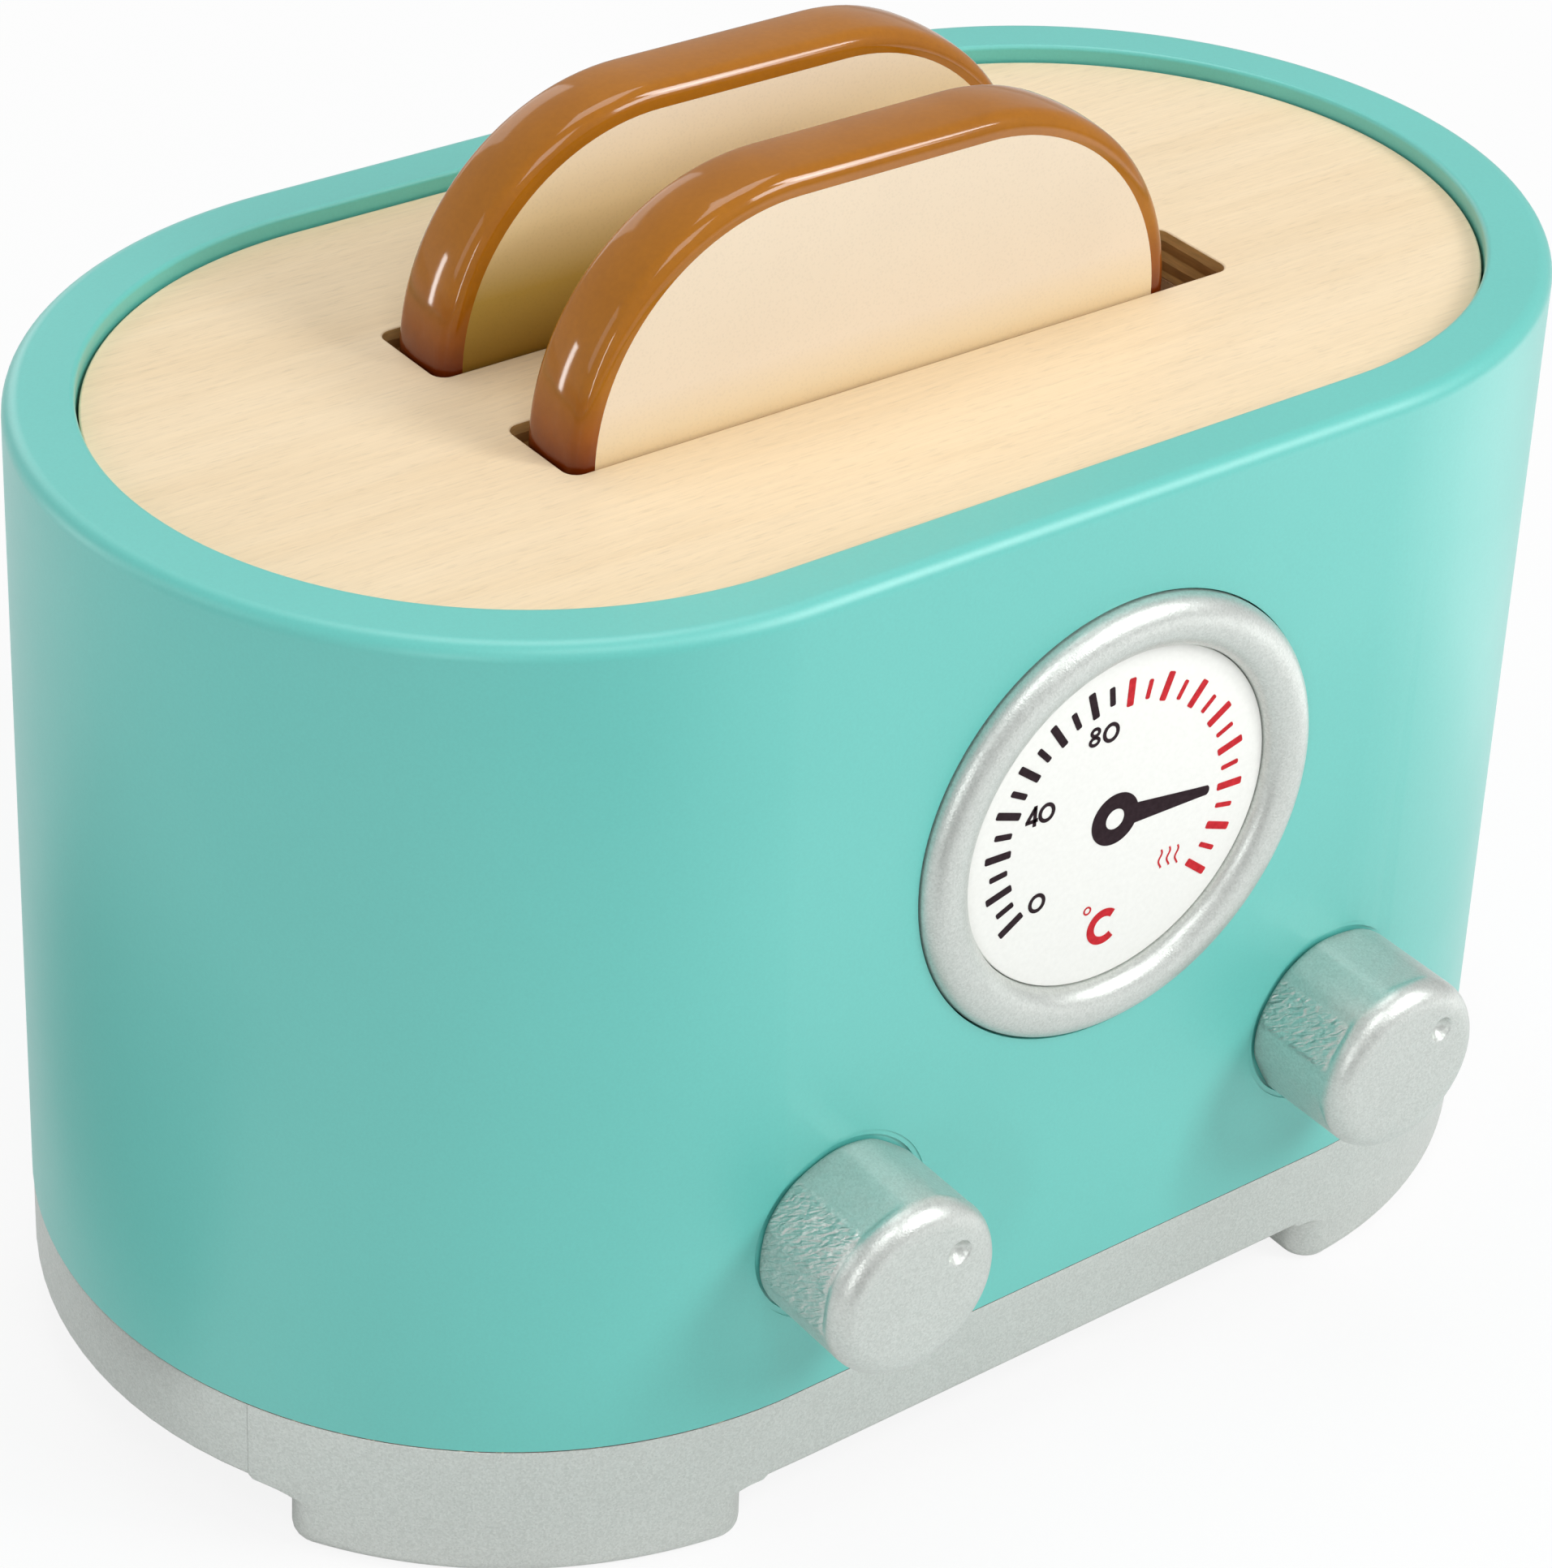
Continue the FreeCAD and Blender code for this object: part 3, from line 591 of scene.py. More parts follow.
# ---- housing
def make_shell():
    """Painted ring with rebate, dial pocket and shallow knob recesses."""
    rim_inner = RIM_HALF - RIM_WALL
    profile = rounded_path([
        (half_width(BASE_TOP_Z), BASE_TOP_Z, 0), (RIM_HALF, TOP_Z, 1.9),
        (rim_inner, TOP_Z, 0.6), (rim_inner, PLATE_BOTTOM, 0),
        (rim_inner - LEDGE, PLATE_BOTTOM, 0), (rim_inner - LEDGE, BASE_TOP_Z, 0),
    ], 8)
    piece = new_piece("painted_shell", skin([ring(d, z) for d, z in profile], wrap=True), teal)
    pocket = DISC_RADIUS + RING_GAP + RING_BAND + POCKET_GAP
    cutters = [plug(DIAL_X + POCKET_SHIFT[0], DIAL_Z + POCKET_SHIFT[1], pocket, POCKET_Y, 160)]
    for side in ("left", "right"):
        x, z = knob_place(side)
        wall_y = MIDDLE_Y - half_width(z)
        cutters += [
            plug(x, z, DISH_RADIUS, wall_y + DISH_DEPTH, lean=LEAN / TOP_Z),
            plug(x, z, RECESS_RADIUS, wall_y + RECESS_DEPTH),
            plug(x, z, SHAFT_HOLE, MIDDLE_Y - 40, 48),
        ]
    cut_away(piece, cutters)
    soften(piece, 0.4)
    settle(piece, "housing", "teal_paint", "body_shell")


SOLE_ROUND = 2.0
SIDE_ROUND = 3.5
COVE = 1.8
LIP = 0.8
TOP_ROUND = 0.5
CORNER_STEPS = 8
WALL_STEPS = 22
ARCH_STEPS = 14


def plinth_wall(z):
    """Distance from the middle line to the plinth's side at height z."""
    return half_width(z) - PLINTH_INSET


def outline_place(x, y):
    """Column and distance of a point on the outline; y is taken from the middle line."""
    foot_x = max(-TURN_X, min(TURN_X, x))
    reach = Vector((x - foot_x, y))
    return (foot_x, reach.x / reach.length, reach.y / reach.length), reach.length


def foot_loop(x_side, y_side, z):
    """Loop of one foot at height z: inner corner, arch side, outer wall, end side."""
    inset = flare = 0.0
    if z < SOLE_ROUND:
        inset = SOLE_ROUND - sqrt(SOLE_ROUND ** 2 - (SOLE_ROUND - z) ** 2)
    if z > FOOT_HEIGHT - COVE:
        flare = COVE - sqrt(max(0, COVE ** 2 - (z - FOOT_HEIGHT + COVE) ** 2))
    corner = SIDE_ROUND - inset
    inner = corner + flare
    outer = corner + (LIP - SIDE_ROUND) * flare / COVE
    side_x = abs(ARCH_LEFT if x_side < 0 else ARCH_RIGHT) + inset - flare
    side_y = ARCH_END + inset - flare
    reach = plinth_wall(z) - inset
    # corner between the arch side and the outer wall
    arch_x = side_x + outer
    beyond = max(0, arch_x - TURN_X)
    arch_y = sqrt((reach - outer) ** 2 - beyond ** 2)
    arch_angle = atan2(arch_y, beyond)
    # corner between the outer wall and the end side
    end_y = side_y + outer
    end_x = TURN_X + sqrt((reach - outer) ** 2 - end_y ** 2)
    end_angle = atan2(end_y, end_x - TURN_X)
    straight = max(0, TURN_X - arch_x)
    run = straight + reach * (arch_angle - end_angle)
    wall = []
    for k in range(1, WALL_STEPS):
        s = run * k / WALL_STEPS
        if s < straight:
            wall.append((arch_x + s, reach))
        else:
            a = arch_angle - (s - straight) / reach
            wall.append((TURN_X + reach * cos(a), reach * sin(a)))
    loop = [
        *arc(side_x + inner, side_y + inner, inner, inner, 270, 180, CORNER_STEPS),
        *arc(arch_x, arch_y, outer, outer, 180, degrees(arch_angle), CORNER_STEPS),
        *wall,
        *arc(end_x, end_y, outer, outer, degrees(end_angle), -90, CORNER_STEPS),
    ]
    return [(x_side * x, y_side * y) for x, y in loop]


def make_plinth():
    """Slab on four feet: rounded soles, rounded sides and small coves under the arches."""
    points, faces = [], []

    def put(x, y, z):
        points.append((x, MIDDLE_Y + y, z))
        return len(points) - 1

    heights = [SOLE_ROUND * (1 - cos(radians(15 * k))) for k in range(7)]
    heights += [FOOT_HEIGHT - COVE + COVE * sin(radians(15 * k)) for k in range(7)]
    tops = {}
    for x_side in (-1, 1):
        for y_side in (-1, 1):
            loops = [[put(x, y, z) for x, y in foot_loop(x_side, y_side, z)] for z in heights]
            faces.append(tuple(loops[0]))
            for low, high in zip(loops, loops[1:]):
                faces += band(low, high)
            tops[x_side, y_side] = loops[-1]

    # the feet in turn round the slab, each as its outer and inner edge in the direction of the turn
    feet = []
    for index, key in enumerate([(-1, -1), (1, -1), (1, 1), (-1, 1)]):
        inner, outer = tops[key][:CORNER_STEPS + 1], tops[key][CORNER_STEPS + 1:]
        feet.append((outer[::-1], inner) if index % 2 == 0 else (outer, inner[::-1]))
    # the slab's lowest loop, and the underside between the feet
    slab, under = [], []
    for index, (outer, inner) in enumerate(feet):
        here, there = points[outer[-1]], points[feet[(index + 1) % 4][0][0]]
        reach = outline_place(here[0], here[1] - MIDDLE_Y)[1]
        arch = []
        for k in range(1, ARCH_STEPS):
            t = k / ARCH_STEPS
            if index % 2 == 0:
                x = here[0] + (there[0] - here[0]) * t
                beyond = max(0, abs(x) - TURN_X)
                y = copysign(sqrt(reach ** 2 - beyond ** 2), here[1] - MIDDLE_Y)
            else:
                y = here[1] + (there[1] - here[1]) * t - MIDDLE_Y
                x = copysign(TURN_X + sqrt(reach ** 2 - y ** 2), here[0])
            arch.append(put(x, y, FOOT_HEIGHT))
        slab += outer + arch
        under += [outer[0], *inner, outer[-1], *arch]
    faces.append(tuple(under))

    # rows up the slab's side: height, share of the lowest loop's own inset, extra inset
    rows = []
    for k in range(1, 6):
        rise = LIP * sin(radians(18 * k))
        rows.append((FOOT_HEIGHT + rise, 1 - sqrt(max(0, 1 - (1 - rise / LIP) ** 2)), 0.0))
    for k in range(5):
        a = radians(90 * k / 4)
        rows.append((BASE_TOP_Z - TOP_ROUND + TOP_ROUND * sin(a), 0.0, TOP_ROUND * (1 - cos(a))))
    columns = [outline_place(points[index][0], points[index][1] - MIDDLE_Y) for index in slab]
    previous = slab
    for z, share, extra in rows:
        current = []
        for (foot_x, dx, dy), distance in columns:
            own_inset = max(0, plinth_wall(FOOT_HEIGHT) - distance)
            reach = plinth_wall(z) - own_inset * share - extra
            current.append(put(foot_x + dx * reach, dy * reach, z))
        faces += band(previous, current)
        previous = current
    faces.append(tuple(previous))
    piece = new_piece("silver_plinth", (points, faces), silver)
    cut_away(piece, [post(seat, foot, BASE_TOP_Z + 1) for seat, foot, _ in rod_seats()])
    shade(piece.data, 35.0)
    weigh(piece, 50)
    settle(piece, "housing", "silver_paint", "base_plinth")


def make_glue_line():
    """Dried glue in the joint between the housing and the plinth, with pale specks painted as glints."""
    wall = half_width(BASE_TOP_Z)
    section = ((2.0, -0.3), (0.14, -0.26), (0.0, 0.0), (0.06, 0.26), (2.0, 0.3))
    loops = [ring(wall - inset, BASE_TOP_Z + rise) for inset, rise in section]
    settle(new_piece("glue_line", skin(loops, wrap=True), dried_glue_with_painted_glints()), "housing", "bare_wood")


def make_plate():
    """Birch plate with two slots; its sawn edges show the plies."""
    edge = RIM_HALF - RIM_WALL - PLATE_GAP
    piece = new_piece("birch_plate", skin([ring(edge, PLATE_BOTTOM), ring(edge, PLATE_TOP)]), birch)
    cutters = []
    for row in ("front", "rear"):
        low, _ = node_box("slice_" + row)
        x, y = low[0] - SLOT_GAP, low[1] - SLOT_GAP
        slot = box_path(x, x + SLOT_LENGTH, y, y + SLOT_WIDTH, SLOT_CORNER, SLOT_CORNER, 6)
        cutters.append(post(slot, PLATE_BOTTOM - 1, PLATE_TOP + 1))
    cutters += [post(seat, PLATE_BOTTOM - 1, top + 0.3) for seat, _, top in rod_seats()]
    cut_away(piece, cutters)
    soften(piece, 0.3)
    piece.data.materials.append(plies)
    for polygon in piece.data.polygons:
        polygon.material_index = 1 if abs(polygon.normal.z) < 0.6 else 0
    settle(piece, "housing", "plywood", "top_plate")


def make_dial():
    """Printed disc and the arched ring round it."""
    disc = [(0, POCKET_Y, 0), (DISC_RADIUS, POCKET_Y, 0), (DISC_RADIUS, FACE_Y, 0.15), (0, FACE_Y, 0)]
    piece = turned("dial_disc", rounded_path(disc, 3), DIAL_X, DIAL_Z, 128, card)
    settle(piece, "housing", "dial_print", "dial_face")
    inner, half_band = DISC_RADIUS + RING_GAP, RING_BAND / 2
    outer = inner + RING_BAND
    arch = arc(inner + half_band, FACE_Y, half_band, -RING_HEIGHT, 180, 0, 20)[1:-1]
    profile = [(inner, POCKET_Y), (inner, FACE_Y), *arch, (outer, FACE_Y), (outer, POCKET_Y)]
    piece = turned("dial_bezel", profile, DIAL_X, DIAL_Z, 160, silver, crease=50.0)
    settle(piece, "housing", "silver_paint", "bezel_ring")


# ---- dial print
PRINT_RISE = 0.05


def tick_tree(finish, sizes):
    """Geometry Nodes tree: rounded tick marks on an arc, long and short by turns."""
    tree = bpy.data.node_groups.new("dial_ticks", "GeometryNodeTree")
    face = tree.interface
    face.new_socket("Geometry", in_out="INPUT", socket_type="NodeSocketGeometry")
    for name, value in sizes.items():
        kind = "NodeSocketInt" if isinstance(value, int) else "NodeSocketFloat"
        face.new_socket(name, in_out="INPUT", socket_type=kind).default_value = value
    face.new_socket("Geometry", in_out="OUTPUT", socket_type="NodeSocketGeometry")
    start = tree.nodes.new("NodeGroupInput").outputs

    def add(kind, inputs=None, **settings):
        return add_node(tree, "GeometryNode" + kind, inputs, **settings).outputs[0]

    def sum_of(operation, first, second=0):
        return add_node(tree, "Math", {0: first, 1: second}, operation=operation).outputs[0]

    def vector(**axes):
        return add_node(tree, "CombineXYZ", axes).outputs[0]

    def join(parts):
        joined = tree.nodes.new("GeometryNodeJoinGeometry")
        for part in parts:
            tree.links.new(part, joined.inputs[0])
        return joined.outputs[0]

    line = add("MeshLine", {"Count": start["Ticks"], "Offset": (0, 0, 0)}, mode="OFFSET")
    index = add("InputIndex")
    angle = sum_of("SUBTRACT", start["First angle"], sum_of("MULTIPLY", index, start["Angle step"]))
    parity = sum_of("MODULO", index, 2)
    rotation = vector(Z=angle)
    short_outer = sum_of("SUBTRACT", start["Outer radius"], start["Short setback"])
    made = []
    for size, outer, test in (("Long", start["Outer radius"], "LESS_THAN"), ("Short", short_outer, "GREATER_THAN")):
        length = start[size + " length"]
        radius = sum_of("SUBTRACT", outer, sum_of("MULTIPLY", length, 0.5))
        place = vector(X=sum_of("MULTIPLY", sum_of("COSINE", angle), radius),
                       Y=sum_of("MULTIPLY", sum_of("SINE", angle), radius))
        chosen = add_node(
            tree, "FunctionNodeCompare", {"A": parity, "B": 0.5}, data_type="FLOAT", operation=test).outputs[0]
        dots = add("SetPosition", {"Geometry": line, "Position": place})
        bar = add("CurvePrimitiveQuadrilateral", {"Width": length, "Height": start[size + " width"]})
        bar = add("FilletCurve", {"Curve": bar, "Radius": start["Corner"], "Count": 3}, mode="POLY")
        flat = add("FillCurve", {"Curve": bar}, mode="NGONS")
        raised = add("ExtrudeMesh", {"Mesh": flat, "Offset Scale": start["Rise"], "Individual": False}, mode="FACES")
        closed = join([add("FlipFaces", {"Mesh": flat}), raised])
        tick = add("MergeByDistance", {"Geometry": closed, "Distance": 1e-6})
        made.append(add("InstanceOnPoints", {
            "Points": dots, "Selection": chosen, "Instance": tick, "Rotation": rotation}))
    centre = vector(**{axis: start["Centre " + axis] for axis in "XYZ"})
    stood = add("Transform", {"Geometry": join(made), "Translation": centre, "Rotation": (radians(90), 0, 0)})
    real = add("RealizeInstances", {"Geometry": stood})
    painted = add("SetMaterial", {"Geometry": real, "Material": finish})
    add_node(tree, "NodeGroupOutput", {0: painted})
    return tree


def make_ticks(name, first, step, count, shift, short_width, finish):
    """One run of tick marks clockwise from a first angle in degrees, centre shifted from the dial's."""
    piece = link(name, bpy.data.meshes.new(name))
    sizes = {
        "Ticks": count,
        "First angle": radians(first),
        "Angle step": radians(step),
        "Outer radius": 18.1 * MM,
        "Long length": 3.5 * MM,
        "Short length": 2.4 * MM,
        "Short setback": 0.75 * MM,
        "Long width": 0.93 * MM,
        "Short width": short_width * MM,
        "Corner": 0.2 * MM,
        "Rise": PRINT_RISE * MM,
        "Centre X": (DIAL_X + shift[0]) * MM,
        "Centre Y": FACE_Y * MM,
        "Centre Z": (DIAL_Z + shift[1]) * MM,
    }
    change = piece.modifiers.new("ticks", "NODES")
    change.node_group = tick_tree(finish, sizes)
    for socket in change.node_group.interface.items_tree:
        if socket.in_out == "INPUT" and socket.name in sizes:
            change[socket.identifier] = sizes[socket.name]
    bake(piece)
    face_outwards(piece.data)
    settle(piece, "housing", "dial_print")


def print_strokes(name, strokes, finish):
    """Raised ribbons on the disc's face from (path, width, closed)."""
    shapes = []
    for path, width, closed in strokes:
        padded = [path[-1], *path, path[0]] if closed else [path[0], *path, path[-1]]
        sections = []
        for before, (u, v), after in zip(padded, path, padded[2:]):
            along = Vector((after[0] - before[0], after[1] - before[1])).normalized()
            across = Vector((-along.y, along.x)) * (width / 2)
            sections.append([(DIAL_X + u + side * across.x, FACE_Y + out * PRINT_RISE, DIAL_Z + v + side * across.y)
                             for side, out in ((1, -1), (-1, -1), (-1, 1), (1, 1))])
        shapes.append(skin(sections, wrap=closed))
    settle(new_piece(name, together(shapes), finish), "housing", "dial_print")


def make_numerals():
    """The figures 0, 40 and 80."""
    line, thin = 0.46, 0.4
    print_strokes("dial_numerals", [
        (oval(-10.39, -7.22, 0.95, 1.0), line, True),
        (oval(-10.11, 4.33, 0.92, 1.0), line, True),
        (oval(-2.0, 11.53, 0.92, 1.02), line, True),
        (oval(-4.26, 11.12, 0.6, 0.46), thin, True),
        (oval(-4.22, 12.26, 0.52, 0.44), thin, True),
        ([(-11.72, 5.55), (-12.75, 3.98)], line, False),
        ([(-12.98, 3.86), (-11.3, 3.86)], line, False),
        ([(-11.72, 5.72), (-11.72, 3.12)], line, False),
    ], black_ink)


def make_red_marks():
    """Degree sign, C and the three lines of rising warmth."""
    strokes = [
        (oval(-2.95, -11.12, 0.45, 0.45), 0.2, True),
        (arc(-0.42, -14.1, 1.8, 1.8, 48, 312, 40), 1.0, False),
    ]
    for u, top in ((7.06, -6.85), (8.24, -6.85), (9.44, -7.05)):
        wave = [(u + 0.2 * sin(2 * pi * 1.15 * k / 24 + 0.3), top - 0.1 * k) for k in range(25)]
        strokes.append((wave, 0.22, False))
    print_strokes("dial_red_marks", strokes, red_ink)


def make_needle():
    """Printed needle with an open hub."""
    hub, hole, root_half = 3.25, 1.28, 1.28
    tip, tip_half, tip_fan = 13.5, 0.6, 70
    turn, centre_u, centre_v = radians(-4.4), -0.22, -0.12
    root, root_angle = sqrt(hub ** 2 - root_half ** 2), degrees(asin(root_half / hub))
    shank = [(root + (tip - 0.3 - hub) * k / 8, root_half + (tip_half - root_half) * k / 8) for k in range(1, 8)]
    outer = [
        *arc(0, 0, hub, hub, root_angle, 360 - root_angle, 60),
        *[(u, -v) for u, v in shank],
        *arc(tip - 0.45, 0, 0.5, tip_half / sin(radians(tip_fan)), -tip_fan, tip_fan, 6),
        *shank[::-1],
    ]
    inner = [spin(hole, 0, atan2(v, u)) for u, v in outer]
    loops = []
    for side, out in ((inner, 1), (outer, 1), (outer, -1), (inner, -1)):
        loops.append([(DIAL_X + centre_u + u, FACE_Y + out * PRINT_RISE, DIAL_Z + centre_v + v)
                      for u, v in (spin(*point, turn) for point in side)])
    settle(new_piece("dial_needle", skin(loops, wrap=True), black_ink), "housing", "dial_print")


# ---- knobs
FLAT_COUNT = 6
FLAT_DEPTH = 0.42
FLAT_END = 3.0
FLAT_ANGLE = {"left": 113.0, "right": 87.0}
# where the lacquer rippled: (first angle, last angle, share of the full ripple)
RIPPLE_BANDS = {
    "left": [(98, 125, 0.12), (125, 160, 1.1), (160, 194, 0.8)],
    "right": [(136, 166, 1.4)],
}
RIPPLE_SOFT = 2.5
KNOB_LIFT = 0.55
KNOB_COLUMNS = 360
FRONT_ROUND = 2.8
BACK_ROUND = 0.6
BORE_DEPTH = 9.0
EASE = 0.3
DIMPLE_OFFSET = 6.1
DIMPLE_RADIUS = 1.6
DIMPLE_DEPTH = 1.15


def smooth_step(value, low, high):
    """Smooth 0 to 1 between two values."""
    t = np.clip((value - low) / (high - low), 0.0, 1.0)
    return t * t * (3 - 2 * t)


def knob_profile(length):
    """From the middle of the back to the middle of the front: (radius, distance behind the front)."""
    return [
        *[(r, length) for r in (SHAFT_BORE, 4.5, 7.0, 9.0)],
        *arc(KNOB_RADIUS - BACK_ROUND, length - BACK_ROUND, BACK_ROUND, BACK_ROUND, 90, 0, 4),
        *[(KNOB_RADIUS, behind) for behind in np.linspace(length - BACK_ROUND - 0.4, FRONT_ROUND + 0.1, 34)],
        *arc(KNOB_RADIUS - FRONT_ROUND, FRONT_ROUND, FRONT_ROUND, -FRONT_ROUND, 0, 90, 9),
        *[(r, 0.0) for r in (*np.arange(8.05, 3.9, -0.2), 3.4, 2.6, 1.6, 0.7)],
    ]


def make_knob(side, dimple_angle):
    """Turned knob: rounded front, six milled flats, lacquer that rippled as it ran, and a dimple."""
    centre_x, centre_z = knob_place(side)
    low, high = node_box("knob_" + side)
    front_y, length = low[1], high[1] - low[1] - KNOB_LIFT
    theta = np.radians(np.arange(KNOB_COLUMNS) * 360.0 / KNOB_COLUMNS)

    def past(angle):
        """Smooth step round the knob at an angle in degrees."""
        return smooth_step(theta, radians(angle - RIPPLE_SOFT), radians(angle + RIPPLE_SOFT))

    run = sum(share * past(first) * (1 - past(last)) for first, last, share in RIPPLE_BANDS[side])
    half_turn = pi / FLAT_COUNT
    nearest = (theta - radians(FLAT_ANGLE[side]) + half_turn) % (2 * half_turn) - half_turn
    limit = (KNOB_RADIUS - FLAT_DEPTH) / np.cos(nearest)
    dimple_x, dimple_z = spin(DIMPLE_OFFSET, 0, radians(dimple_angle))
    loops, wrinkle = [], []
    for radius, behind in knob_profile(length):
        r = np.full(KNOB_COLUMNS, radius)
        mark = np.zeros(KNOB_COLUMNS)
        if radius > 8.0 and behind > 1.0:
            over = r - limit
            eased = np.where(over > EASE, over, np.where(over > -EASE, (over + EASE) ** 2 / (4 * EASE), 0.0))
            r = r - eased * smooth_step(behind, FLAT_END - 0.35, FLAT_END + 0.35)
            mark = run * smooth_step(behind, FLAT_END - 0.1, FLAT_END + 0.8)
        x, y, z = r * np.cos(theta), np.full(KNOB_COLUMNS, front_y + behind), r * np.sin(theta)
        if behind == 0.0:
            away = np.hypot(x - dimple_x, z - dimple_z)
            bowl = np.clip(1 - (away / DIMPLE_RADIUS) ** 2, 0.0, 1.0)
            lip = 1 - smooth_step(away, DIMPLE_RADIUS * 0.82, DIMPLE_RADIUS * 1.08)
            y = y + DIMPLE_DEPTH * bowl * lip
        loops.append(list(zip(centre_x + x, y, centre_z + z)))
        wrinkle.append(mark)
    points, faces = skin(loops, caps=False)
    bore = len(points)
    faces.append(tuple(range(bore - KNOB_COLUMNS, bore)))
    # blind bore for the shaft
    bore_y = front_y + length - BORE_DEPTH
    points += [(x, bore_y, z) for x, z in oval(centre_x, centre_z, SHAFT_BORE, SHAFT_BORE, KNOB_COLUMNS)]
    bore_end = range(bore, bore + KNOB_COLUMNS)
    faces += [*band(range(KNOB_COLUMNS), bore_end), tuple(bore_end)]
    wrinkle = np.concatenate([*wrinkle, np.zeros(KNOB_COLUMNS)]).astype(np.float32)
    piece = new_piece("turned_knob_" + side, (points, faces), silver_knob, crease=40.0, wrinkle=wrinkle)
    settle(piece, side + "_knob", "silver_paint", "knob_" + side)


# ---- toast
def make_slice(row):
    """Slice with soft edges and slightly crowned crust; the crumb print with its painted shade covers both faces."""
    low, high = node_box("slice_" + row)
    edge, margin, crown = 2.0, 2.8, 0.2
    thickness = high[1] - low[1]
    side = crown + edge
    # rows across the crust: inset from the outline, depth behind the front face
    rows = [(margin, 0.0), *arc(side, edge, -edge, -edge, 90, 8, 8)]
    for k in range(1, 10):
        t = 2 * k / 10 - 1
        rows.append((crown * t * t, edge + (thickness - 2 * edge) * k / 10))
    rows += [*arc(side, thickness - edge, -edge, edge, 8, 90, 8), (margin, thickness)]
    loops = []
    for inset, deep in rows:
        outline = box_path(low[0] + inset, high[0] - inset, low[2] + inset, high[2] - inset,
                           6.0 - inset, 28.0 - inset, 28)
        loops.append([(x, low[1] + deep, z) for x, z in outline])
    points, faces = skin(loops)
    # the two flat faces come last and take the print and its painted shade
    finish_of = [0] * (len(faces) - 2) + [1, 1]
    piece = new_piece("toast_" + row, (points, faces), crust, crumb_of_row[row], crease=50.0, finish_of=finish_of)
    settle(piece, row + "_slice", "toast_paint", "slice_" + row)


# ---- inside
def make_spring(side):
    """Coil spring round its rod, as long as its frame node; nothing here flattens it as the lift goes down."""
    low, high = node_box("lift_spring_" + side)
    x, y = (low[0] + high[0]) / 2, MIDDLE_Y + ROD_BACK
    wire = 0.45
    coil = (high[0] - low[0]) / 2 - wire
    turns, per_turn, sides = 8, 40, 10
    height = high[2] - low[2] - 2 * wire
    count = turns * per_turn
    loops = []
    for k in range(count + 1):
        a = 2 * pi * k / per_turn
        out = Vector((cos(a), sin(a), 0))
        along = Vector((-coil * sin(a), coil * cos(a), height / (2 * pi * turns))).normalized()
        up = out.cross(along) * -1
        middle = Vector((x, y, low[2] + wire + height * k / count)) + out * coil
        loops.append([tuple(middle + (out * c + up * s) * wire) for c, s in oval(0, 0, 1, 1, sides)])
    piece = new_piece("coil_" + side, skin(loops), inner_finishes["steel"], crease=60.0)
    settle(piece, "housing", "steel", "lift_spring_" + side)
    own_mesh(piece)


def make_felt():
    """Felt strips under the slices, edges rounded and slightly fluffed."""
    low, high = node_box("felt_strips")
    shapes = []
    for row in ("front", "rear"):
        slice_low, slice_high = node_box("slice_" + row)
        section = box_path(slice_low[1] + 1.25, slice_high[1] - 1.25, low[2], high[2], 0.1, 0.3, 4)
        loops = []
        for k in range(61):
            x = low[0] + (high[0] - low[0]) * k / 60
            ripple = 0.12 * sin(k * 2.1) * sin(k * 0.7)
            loops.append([(x, y + (ripple if z > low[2] + 0.2 else 0.0), z) for y, z in section])
        shapes.append(skin(loops))
    settle(new_piece("felt_pads", together(shapes), inner_finishes["felt"]), "lift", "felt", "felt_strips")


def make_washer():
    """Felt washer behind the left knob's bush."""
    low, high = node_box("knob_washer_left")
    outer = (high[0] - low[0]) / 2
    profile = [(SHAFT_BORE, low[1], 0), (outer, low[1], 0.3), (outer, high[1], 0.3), (SHAFT_BORE, high[1], 0)]
    piece = turned("felt_washer", rounded_path(profile, 4), *knob_place("left"), 48, inner_finishes["felt"])
    settle(piece, "left_knob", "felt", "knob_washer_left")


make_shell()
make_plinth()
make_glue_line()
make_plate()
make_dial()
make_ticks("dial_black_ticks", 212.7, 8.84, 14, (-0.1, 0.05), 0.74, black_ink)
make_ticks("dial_red_ticks", 88.5, 9.15, 15, (-0.1, -0.6), 0.6, red_ink)
make_numerals()
make_red_marks()
make_needle()
make_knob("left", 38.0)
make_knob("right", 46.0)
make_slice("front")
make_slice("rear")
make_spring("left")
make_spring("right")
make_felt()
make_washer()

# ---- studio
WHITE = (1, 1, 1, 1)
FLOOR_GREY = (0.88, 0.88, 0.88, 1)
CARD_BROWN = (0.06, 0.055, 0.05, 1)
AIM = Vector((0, 0, 0.07))


def seen_rays(tree, straight, mirrored):
    """Share of white for rays that show the background: straight, or mirrored and through glass."""
    path = add_node(tree, "LightPath").outputs
    found = 0
    for name, share in (("Is Camera Ray", straight), ("Is Glossy Ray", mirrored), ("Is Transmission Ray", mirrored)):
        found = add_node(tree, "Math", {0: path[name], 1: share, 2: found}, operation="MULTIPLY_ADD").outputs[0]
    return found


def flat_sheet(name, x0, x1, y0, y1, z, material):
    """Flat stage piece parallel to the floor, sizes in metres."""
    mesh = bpy.data.meshes.new(name)
    mesh.from_pydata([(x0, y0, z), (x1, y0, z), (x1, y1, z), (x0, y1, z)], [], [(0, 1, 2, 3)])
    mesh.materials.append(material)
    sheet = link(name, mesh)
    return sheet


def emptied(owner):
    """Node tree of a material or world, without its nodes."""
    owner.use_nodes = True
    owner.node_tree.nodes.clear()
    return owner.node_tree


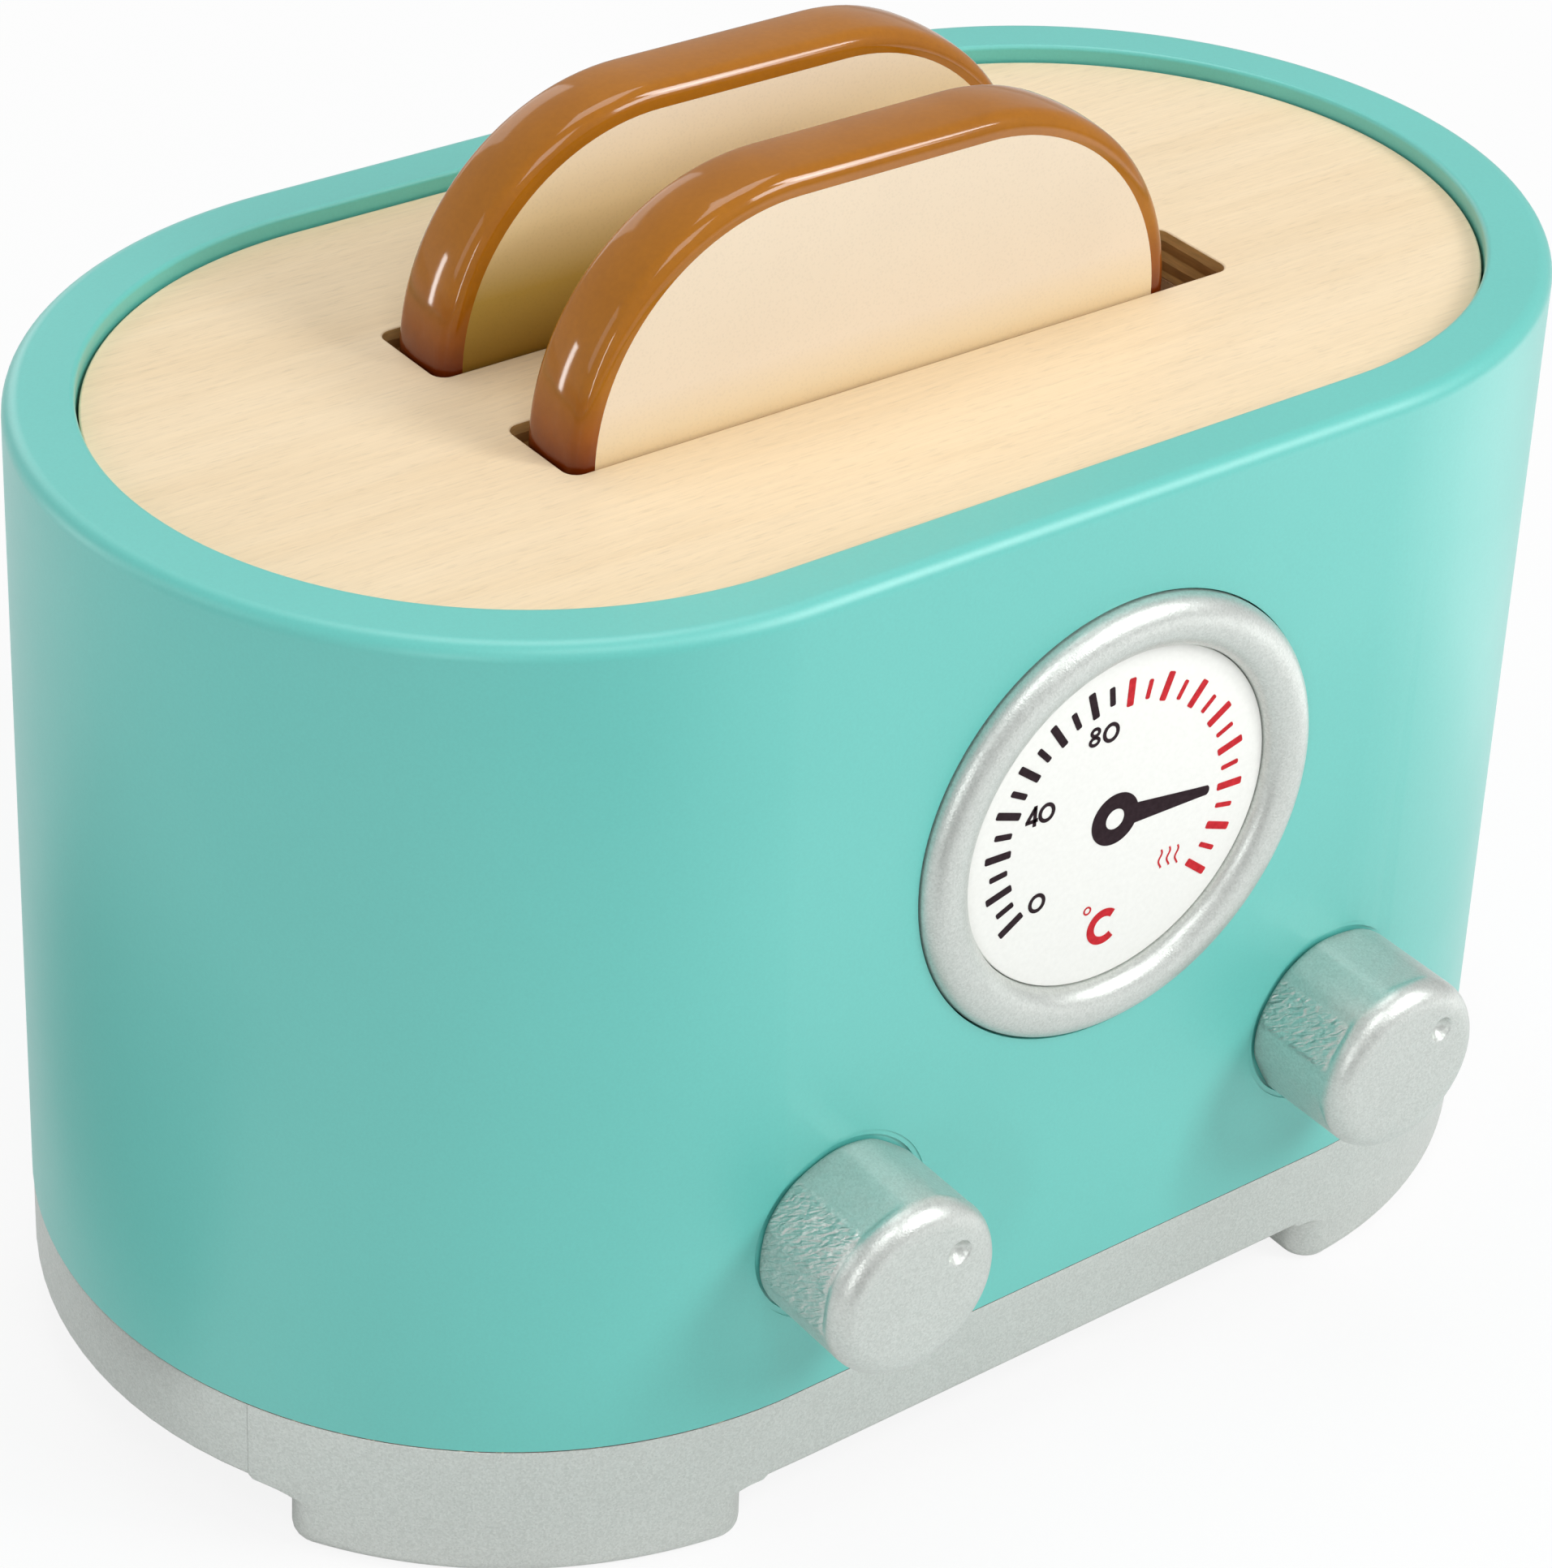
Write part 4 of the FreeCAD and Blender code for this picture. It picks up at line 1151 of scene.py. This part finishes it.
def make_floor():
    """Pale floor that keeps a soft shadow, fades to white away from the toaster and is clear from below."""
    material = bpy.data.materials.new("studio_floor")
    tree = emptied(material)
    add = partial(add_node, tree)
    place = add("TexCoord").outputs["Object"]
    away = add("VectorMath", {0: place}, operation="LENGTH").outputs["Value"]
    fade = add("MapRange", {"Value": away, "From Min": 0.2, "From Max": 0.7, "To Min": 0, "To Max": 0.14}).outputs[0]
    camera_ray = add("LightPath").outputs["Is Camera Ray"]
    share = add("Math", {0: camera_ray, 1: fade, 2: seen_rays(tree, 0.86, 0.1)}, operation="MULTIPLY_ADD")
    matt = add("BsdfDiffuse", {"Color": FLOOR_GREY})
    glow = add("Emission", {"Color": WHITE, "Strength": 1})
    above = add("MixShader", {0: share.outputs[0], 1: matt.outputs[0], 2: glow.outputs[0]})
    below = add("BsdfTransparent")
    backfacing = add("NewGeometry").outputs["Backfacing"]
    both = add("MixShader", {0: backfacing, 1: above.outputs[0], 2: below.outputs[0]})
    add("OutputMaterial", {"Surface": both.outputs[0]})
    reach = 12
    flat_sheet("studio_floor", -reach, reach, -reach, reach, 0, material)


def make_cards():
    """Dark cards lying on the floor in front and at the left, for the silver parts to mirror; the left one is
    painted shade, darkening the mirrored floor where the toaster's shadow falls.
    """
    material = bpy.data.materials.new("dark_card")
    material.use_nodes = True
    material.node_tree.nodes["Principled BSDF"].inputs["Base Color"].default_value = CARD_BROWN
    # left_card is painted shade laid where the toaster's shadow falls on the floor, seen only in reflections
    for name, *edges in (("front_card", -0.5, -0.05, -0.62, -0.19), ("left_card", -0.18, -0.112, 0, 0.12)):
        tuned(flat_sheet(name, *edges, 0.001, material),
              visible_camera=False, visible_diffuse=False, visible_shadow=False)


def make_world():
    """White surroundings for the camera and reflections, a gentler fill for the object."""
    world = bpy.data.worlds.new("studio")
    bpy.context.scene.world = world
    tree = emptied(world)
    fill, white = (add_node(tree, "Background", {"Color": WHITE, "Strength": strength}).outputs[0]
                   for strength in (0.33, 1))
    mix = add_node(tree, "MixShader", {0: seen_rays(tree, 1, 0.35), 1: fill, 2: white})
    add_node(tree, "OutputWorld", {"Surface": mix.outputs[0]})


def direction(azimuth, elevation):
    """Unit vector away from the toaster; azimuth 0 is in front, 90 at the right."""
    a, e = radians(azimuth), radians(elevation)
    return Vector((sin(a) * cos(e), -cos(a) * cos(e), sin(e)))


def area_lamp(name, width, height, power):
    """Soft lamp that the camera doesn't see."""
    data = tuned(bpy.data.lights.new(name, "AREA"), shape="RECTANGLE", size=width, size_y=height, energy=power)
    return tuned(link(name, data), visible_camera=False)


def make_lamps():
    """Lamps round the toaster, aimed at it, and a panel on the floor that only the gloss shows."""
    for name, azimuth, elevation, distance, width, height, power in (
            ("key_right", 30, 30, 1, 0.28, 0.28, 2.5),
            ("key_glint", 41, 41, 1, 0.14, 0.36, 2.4),
            ("over_camera", -20, 50, 1, 0.35, 0.35, 1.5),
            ("top_back", 150, 77, 1, 0.5, 0.5, 2.85),
            ("left_back", -105, 25, 1.2, 0.5, 0.5, 1.1),
            ("back_strip", -132, 2, 0.9, 0.05, 0.36, 0.8),
            ("left_strip", -50, 12, 0.9, 0.07, 0.34, 0.8),
            ("back_fill", 178, 22, 1.3, 0.6, 0.6, 1.8)):
        away = direction(azimuth, elevation)
        tuned(area_lamp(name, width, height, power), location=AIM + away * distance,
              rotation_euler=(-away).to_track_quat("-Z", "Y").to_euler())
    tuned(area_lamp("low_panel", 0.46, 0.4, 0.4), location=(0.4, -0.22, 0.004),
          rotation_euler=(pi, 0, 0), visible_diffuse=False)


def make_camera():
    """Camera in front of the left end, looking down, with a slight roll."""
    back = direction(-37.97774, 33.35637)
    roll = radians(2.7687)
    aim = Vector((-4.282, MIDDLE_Y - 3.385, 56.508)) * MM
    distance = 502.63 * MM
    right = (-back).cross(Vector((0, 0, 1))).normalized()
    up = right.cross(-back)
    tilted_right = right * cos(roll) + up * sin(roll)
    tilted_up = up * cos(roll) - right * sin(roll)
    camera = link("camera", tuned(
        bpy.data.cameras.new("camera"), lens=98.73, sensor_width=36, clip_start=0.01, clip_end=20))
    place = Matrix((tilted_right, tilted_up, back)).transposed().to_4x4()
    place.translation = aim + back * distance
    camera.matrix_world = place
    bpy.context.scene.camera = camera


make_floor()
make_world()
make_cards()
make_lamps()
make_camera()
bpy.context.scene.view_settings.view_transform = "Standard"
